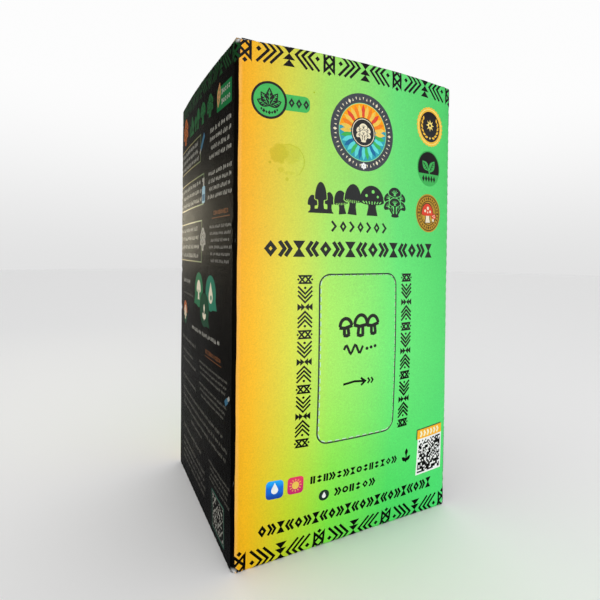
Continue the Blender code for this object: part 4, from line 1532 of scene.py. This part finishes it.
def make_lid_and_tuck():
    reach = LID_HINGE_Y - TUCK_CREASE_Y - CREASE_R - CREASE_GAP
    outline = box(-LID_HALF, LID_HALF, -reach, CREASE_R)
    art = lid_art(reach + CREASE_ARC)
    make_flap("lid_print", "lid", outline, (0, LID_HINGE_Y, LID_Z), turned(), art)
    middle, low = TUCK_HALF - TUCK_CORNER, TUCK_CORNER - TUCK_LENGTH
    outline = arc(-middle, low, TUCK_CORNER, 180, 270) + arc(middle, low, TUCK_CORNER, 270, 360)
    outline += [(TUCK_HALF, CREASE_R), (-TUCK_HALF, CREASE_R)]
    art = [shape for x in (-8.0, 0.0, 8.0) for shape in diamond("dark_green", 1.6, x, -18.0, tall=1.2)]
    make_flap("tuck_print", "tuck_flap", outline, (0, TUCK_CREASE_Y, LID_Z), turned(x=TUCK_LEAN), art)


def make_dust_flaps():
    rear, front = 71.0, -64.5
    outline = [(front + 10, -60), (rear - 26, -60), (rear - 21, -27), (rear, -1.5)]
    outline += [(rear, CREASE_R), (front, CREASE_R), (front, -21)]
    mirror = [(-u, y) for u, y in reversed(outline)]
    for side, name, shape in ((-1, "left", outline), (1, "right", mirror)):
        spot = (side * DUST_X, 0, DUST_Z)
        make_flap(f"dust_print_{name}", f"dust_flap_{name}", shape, spot, turned(z=-side * 90.0))


# ---------------------------------------------------------------- the bag, the block and the patch
BAG_HALF = 71.2
BAG_SQUARE = 4.6
BAG_BASE = 7.2
BAG_ROUND = 8.0
SHOULDER = 205.0
NECK_Z = 227.0
NECK_Y = -22.0
NECK_HALF = 66.0
NECK_THICK = 1.2
NECK_SQUARE = 2.0
NECK_RUN = 80.0
NECK_FOLD = 4.0
NECK_SLOPE = math.radians(8.0)
PLEAT = 2.8
FILM = 0.4
BLOCK_GAP = 0.3
BLOCK_ROUND = 14.0
BLOCK_COUNT = 200
PATCH_SIDE = 50.0
PATCH_THICK = 0.5
PATCH_GAP = 0.3
PATCH_FIELD = 0.88
QUILT = 0.0022


def ring_turns(count):
    return 2 * np.pi * (np.arange(count) + 0.5) / count


def ring_points(count, half_width, half_depth, squareness):
    c, s = np.cos(ring_turns(count)), np.sin(ring_turns(count))
    x = half_width * np.sign(c) * np.abs(c) ** (1 / squareness)
    return x, half_depth * np.sign(s) * np.abs(s) ** (1 / squareness)


def even_ring(count, half, squareness):
    """A rounded square's points, evenly spaced along it."""
    x, y = ring_points(4000, half, half, squareness)
    x, y = np.append(x, x[0]), np.append(y, y[0])
    length = np.append(0, np.cumsum(np.hypot(np.diff(x), np.diff(y))))
    at = np.linspace(0, length[-1], count, endpoint=False)
    return np.interp(at, length, x), np.interp(at, length, y)


def ring_faces(count, rings):
    """Quads between rings of count points each, one ring after the other."""
    lows, pairs = range(0, (rings - 1) * count, count), [(i, (i + 1) % count) for i in range(count)]
    return [(low + i, low + j, low + count + j, low + count + i) for low in lows for i, j in pairs]


def ring_piece(name, rings, material):
    """Rings of equal counts joined into a skin, closed by a point at each end."""
    count = len(rings[0])
    points = [tuple(p) for ring in rings for p in ring]
    faces = ring_faces(count, len(rings))
    last = len(points) - count
    points += [tuple(np.mean(rings[0], axis=0)), tuple(np.mean(rings[-1], axis=0))]
    faces += [(len(points) - 2, (i + 1) % count, i) for i in range(count)]
    faces += [(len(points) - 1, last + i, last + (i + 1) % count) for i in range(count)]
    return new_piece(name, new_mesh(name, [tuple(c * MM for c in p) for p in points], faces, material))


def film_material():
    """Thin, slightly milky film, glossy, with a fine crackle of creases."""
    made, nodes, shader = new_material("bag_film")
    place = nodes.place()
    cloud = nodes.noise(place, 30.0, 3.0, 0.6)
    crease = nodes.noise(place, 120.0, 4.0, 0.7, (1.0, 1.0, 0.4))
    colour = nodes.mix(cloud, linear((232, 236, 237)), linear((248, 249, 249)))
    ridge = abs(crease - 0.5)
    nodes.feed(
        shader, Base_Color=colour, Roughness=crease.eased(0.3, 0.8, 0.10, 0.26),
        Alpha=ridge.eased(0.0, 0.05, 0.36, 0.14), Normal=nodes.bump(ridge, 0.5, 0.0010),
    )
    return made


def mycelium_material():
    """Dense white growth over brown straw and sawdust, which shows through where it is thin."""
    made, nodes, shader = new_material("mycelium", 0.9, Specular_IOR_Level=0.2)
    place = nodes.place()
    patches = nodes.noise(place, 38.0, 5.0, 0.62)
    straw = nodes.noise(place, 260.0, 4.0, 0.7, (1.0, 1.0, 3.2))
    fuzz = nodes.noise(place, 900.0, 4.0, 0.7)
    white = nodes.mix(fuzz.eased(0.3, 0.75), linear((236, 230, 217)), linear((252, 250, 244)))
    brown = nodes.gradient(straw, ((0.30, (98, 68, 40)), (0.5, (158, 118, 70)), (0.7, (206, 176, 120))))
    colour = nodes.mix((patches * 0.7 + straw * 0.3).eased(0.36, 0.47), brown, white)
    nodes.feed(shader, Base_Color=colour, Normal=nodes.bump(fuzz * 0.4 + patches, 0.7, 0.0012))
    return made


def patch_material():
    """Pressed breathing paper: a grid of small dimples, painted darker in their hollows as shade, and
    fine fibres.
    """
    made, nodes, shader = new_material("filter_paper", 0.85, Specular_IOR_Level=0.3)
    place = nodes.place()
    x, y, _ = nodes.split(place)
    step = 2 * math.pi / QUILT
    wave = nodes.math("SINE", x * step) * nodes.math("SINE", y * step)
    fibre = nodes.noise(place, 1500.0, 3.0, 0.7)
    # Painted shade: the paper is darker where the dimples' wave is low
    colour = nodes.mix(wave.eased(-0.6, 0.6), linear((206, 206, 200)), linear((238, 238, 232)))
    colour = nodes.mix(fibre.eased(0.3, 0.8, 0.0, 0.35), colour, linear((250, 250, 246)))
    nodes.feed(shader, Base_Color=colour, Normal=nodes.bump(wave + fibre * 0.6, 0.6, 0.0003))
    return made


def bag_stations():
    """Base to mouth: each ring's centre, width, depth, squareness, lean, and how far it has closed."""
    low = BAG_BASE + BAG_ROUND
    body = (BAG_HALF, BAG_HALF, BAG_SQUARE, 0.0, 0.0)
    for step in range(9):
        turn = math.pi / 2 * step / 8
        size = BAG_HALF - BAG_ROUND * (1 - math.sin(turn))
        yield (0, 0, BAG_BASE + BAG_ROUND * (1 - math.cos(turn))), size, size, *body[2:]
    for step in range(1, 46):
        yield (0, 0, low + (SHOULDER - low) * step / 45), *body
    for step in range(1, 37):
        share = step / 36
        closing = share * share * (3 - 2 * share)
        sizes = ((BAG_HALF, NECK_HALF), (BAG_HALF, NECK_THICK), (BAG_SQUARE, NECK_SQUARE))
        z = SHOULDER + (NECK_Z - SHOULDER) * math.sin(share * math.pi / 2)
        yield (0, NECK_Y * closing, z), *[a + (b - a) * closing for a, b in sizes], 0.0, share
    final = math.pi / 2 + NECK_SLOPE
    for step in range(1, 11):
        lean = final * step / 10
        y, z = NECK_Y + NECK_FOLD - math.cos(lean) * NECK_FOLD, NECK_Z + math.sin(lean) * NECK_FOLD
        yield (0, y, z), NECK_HALF, NECK_THICK, NECK_SQUARE, lean, 1.0
    for step in range(1, 31):
        far = NECK_RUN * step / 30
        centre = (0, y + far * math.sin(final), z + far * math.cos(final))
        yield centre, NECK_HALF, NECK_THICK, NECK_SQUARE, final, 1.0


def drawn_in(x, y, inward):
    """A ring's points, moved towards its middle."""
    length = np.maximum(np.hypot(x, y), 1e-6)
    return x - x / length * inward, y - y / length * inward


def bag_rings(count):
    """The bag's rings from base to mouth, with the film's wrinkles."""
    rings = []
    turn = ring_turns(count)
    for centre, width, depth, square, lean, share in bag_stations():
        x, y = ring_points(count, width, depth, square)
        z = np.full(count, float(centre[2]))
        folds = rough_field(14 * np.cos(turn), 14 * np.sin(turn), z / 30, 2.1, 5.0)
        small = rough_field(x, y, z, 6.0, 9.0)
        if share < 1:
            pleat = PLEAT * math.sin(math.pi * share) * np.clip(1.0 - 1.7 * np.abs(folds), 0, 1)
            x, y = drawn_in(x, y, 0.10 * (1 + small) + pleat)
        else:
            y = y * (0.72 + 0.28 * np.sin(x / 7.0 + centre[1] / 11.0))
        turned_y, turned_z = centre[1] + y * math.cos(lean), centre[2] - y * math.sin(lean)
        rings.append(np.column_stack([centre[0] + x, turned_y, turned_z]))
    return rings


def block_rings():
    """The colonised block, lumpy where the growth is thick and pitted where straw shows."""
    half, low = BAG_HALF - FILM - BLOCK_GAP, BAG_BASE + FILM + BLOCK_GAP
    end, top = SHOULDER - BLOCK_GAP, SHOULDER - BLOCK_GAP - BLOCK_ROUND
    sections = []
    for turn in (math.pi / 2 * step / 6 for step in range(7)):
        sections.append((half - BAG_ROUND * (1 - math.sin(turn)), low + BAG_ROUND * (1 - math.cos(turn))))
    for step in range(1, 71):
        sections.append((half, low + BAG_ROUND + (top - low - BAG_ROUND) * step / 70))
    for turn in (math.pi / 2 * step / 12 for step in range(1, 13)):
        sections.append((half - BLOCK_ROUND * (1 - math.cos(turn)), top + BLOCK_ROUND * math.sin(turn)))
    last = sections[-1][0]
    sections += [(last * (1 - step / 20), end) for step in range(1, 20)]
    rings = []
    for size, z in sections:
        x, y = even_ring(BLOCK_COUNT, size, BAG_SQUARE)
        height = np.full(BLOCK_COUNT, z)
        lump, pit = rough_field(x, y, height, 9.0, 1.3), rough_field(x, y, height, 3.1, 6.6)
        inward = 0.45 + 0.45 * (1 - lump) / 2 + 0.55 * np.clip(pit - 0.15, 0, 1)
        side = 1.0 if z < top else max(0.0, math.cos(math.asin(min(1.0, (z - top) / BLOCK_ROUND))))
        x, y = drawn_in(x, y, inward * side)
        rings.append(np.column_stack([x, y, height - inward * (1 - side) * 1.4]))
    return rings


def make_bag_and_block():
    bag = ring_piece("bag_film", bag_rings(180), film_material())
    dress(bag, "carton", "grow_bag")
    block = ring_piece("mycelium_block", block_rings(), mycelium_material())
    dress(block, "carton", "substrate_block")


def make_patch(count=52):
    """The filter patch: rounded corners, a sealed rim and a raised, quilted field."""
    _, neck_y, neck_z = bag_rings(8)[-1].mean(axis=0)
    back, away = NECK_RUN / 2, NECK_THICK + PATCH_GAP + PATCH_THICK / 2
    out = Vector((0, math.sin(NECK_SLOPE), math.cos(NECK_SLOPE)))
    middle = Vector((0, neck_y - back * out.z, neck_z + back * out.y)) + out * away
    shape = bmesh.new()
    grid = {}
    for i in range(count + 1):
        for j in range(count + 1):
            a, b = i / count * 2 - 1, j / count * 2 - 1
            reach = max(abs(a), abs(b))
            pull = 1 - 0.020 * (abs(a) * abs(b)) ** 12
            x, y = PATCH_SIDE / 2 * a * pull, PATCH_SIDE / 2 * b * pull
            lift = PATCH_THICK / 2 if reach < PATCH_FIELD else PATCH_THICK * 0.1
            grid[i, j, 1] = shape.verts.new((x, y, lift))
            if reach == 1.0:
                grid[i, j, 0] = shape.verts.new((x, y, -PATCH_THICK / 2))
    for i in range(count):
        for j in range(count):
            corners = ((i, j), (i + 1, j), (i + 1, j + 1), (i, j + 1))
            shape.faces.new([grid[*corner, 1] for corner in corners])
    rim = [(i, 0) for i in range(count)] + [(count, j) for j in range(count)]
    rim += [(i, count) for i in range(count, 0, -1)] + [(0, j) for j in range(count, 0, -1)]
    for spot, after in sides(rim):
        shape.faces.new([grid[*spot, 0], grid[*after, 0], grid[*after, 1], grid[*spot, 1]])
    shape.faces.new([grid[*spot, 0] for spot in reversed(rim)])
    shape.transform(Matrix.Diagonal((MM, MM, MM, 1.0)))
    mesh = bpy.data.meshes.new("filter_patch_paper")
    shape.to_mesh(mesh)
    shape.free()
    mesh.materials.append(patch_material())
    piece = new_piece("filter_patch_paper", mesh)
    piece.matrix_world = Matrix.Translation(middle * MM) @ Matrix.Rotation(-NECK_SLOPE, 4, "X")
    dress(piece, "carton", "filter_patch")


# ---------------------------------------------------------------- stage, light and camera
# The fitted camera: the photo's side and focal length in pixels, its optical centre, and its pose
PHOTO = 600
FOCAL = 452.94
CENTRE = (333.09, 257.81)
CAMERA_RIGHT = (0.87701913, -0.48028895, 0.01264833)
CAMERA_UP = (-0.00450645, 0.01810137, 0.999826)
CAMERA_BACK = (-0.48043433, -0.87692353, 0.01371085)
CAMERA_PLACE = (-0.144484, -0.310399, 0.173855)
SENSOR = 36
# The way from the carton to the pale side of the room
PALE_SIDE = (0.643, 0.766, 0.0)
FLOOR_HALF = 4.5


def make_floor():
    corners = [(x, y, 0) for x, y in box(-FLOOR_HALF, FLOOR_HALF, -FLOOR_HALF, FLOOR_HALF)]
    pale, _, _ = new_material("floor_pale", 0.8, Base_Color=linear((244, 244, 244)))
    new_piece("floor", new_mesh("floor", corners, [(0, 1, 2, 3)], pale, smooth=False))


def make_backdrop(around=64, rings=12, radius=4.0):
    """A pale dome far outside everything. The camera sees it, and it sends no light to the carton."""
    points, faces = [], ring_faces(around, rings + 1)
    for ring in range(rings + 1):
        rise = 0.49 * math.pi * ring / rings
        for turn in (2 * math.pi * n / around for n in range(around)):
            flat = radius * math.cos(rise)
            points.append((flat * math.cos(turn), flat * math.sin(turn), radius * math.sin(rise) - 0.01))
    faces.append(tuple(rings * around + n for n in range(around)))
    black, white = (0, 0, 0, 1), (1, 1, 1, 1)
    made, nodes, shader = new_material("backdrop_pale", 1.0, Specular_IOR_Level=0.0, Base_Color=black)
    strength = nodes.split(nodes.place())[2].eased(-0.1, 1.5, 0.76, 0.98)
    nodes.feed(shader, Emission_Color=white, Emission_Strength=strength)
    dome = new_piece("backdrop", new_mesh("backdrop", points, faces, made, smooth=False))
    dome.visible_diffuse = dome.visible_glossy = dome.visible_transmission = False
    dome.visible_volume_scatter = dome.visible_shadow = False


def area_light(name, place, target, size, power, spread=180.0, colour=(1, 1, 1)):
    lamp = bpy.data.lights.new(name, "AREA")
    lamp.shape = "RECTANGLE"
    lamp.size, lamp.size_y = size
    lamp.energy = power
    lamp.spread = math.radians(spread)
    lamp.color = colour
    holder = new_piece(name, lamp)
    holder.location = place
    holder.visible_camera = False
    holder.rotation_euler = (Vector(target) - Vector(place)).to_track_quat("-Z", "Y").to_euler()


def make_world():
    """A white backdrop behind the carton, a bright ceiling, and a dim room on the other sides."""
    world = bpy.data.worlds.new("studio")
    bpy.context.scene.world = world
    world.use_nodes = True
    nodes = Nodes(world.node_tree)
    way = nodes.made("ShaderNodeTexCoord", output="Generated")
    backdrop = nodes.along(way, PALE_SIDE).eased(0.53, 0.83, 0.24, 0.93)
    ceiling = nodes.split(way)[2].eased(0.30, 0.90, 0.0, 1.15)
    shader = world.node_tree.nodes["Background"]
    nodes.feed(shader, Strength=backdrop.most(ceiling), Color=(1.0, 1.0, 1.0, 1.0))


def make_camera():
    turn = Matrix((CAMERA_RIGHT, CAMERA_UP, CAMERA_BACK)).transposed().to_4x4()
    lens = bpy.data.cameras.new("photo_camera")
    lens.lens = FOCAL / PHOTO * SENSOR
    lens.sensor_width = SENSOR
    lens.shift_x = (PHOTO / 2 - CENTRE[0]) / PHOTO
    lens.shift_y = (CENTRE[1] - PHOTO / 2) / PHOTO
    camera = new_piece("photo_camera", lens)
    camera.matrix_world = Matrix.Translation(CAMERA_PLACE) @ turn
    bpy.context.scene.camera = camera


make_sleeve()
make_window_panel()
make_lid_and_tuck()
make_dust_flaps()
make_bag_and_block()
make_patch()
make_floor()
make_backdrop()
make_world()
area_light("key", (-0.16, -1.10, 0.16), (0, 0, 0.10), (1.1, 0.7), 7.1)
warm = (1.0, 0.90, 0.66)
area_light("sheen", (-0.25, 1.255, 0.265), (-0.08, 0.05, 0.20), (0.42, 0.22), 0.142, 40.0, warm)
make_camera()
bpy.context.scene.view_settings.view_transform = "Standard"

for side in ("front", "rear", "left", "right"):
    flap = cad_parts[f"bottom_flap_{side}"].data
    flap.materials.clear()
    flap.materials.append(MATERIALS["kraft"])
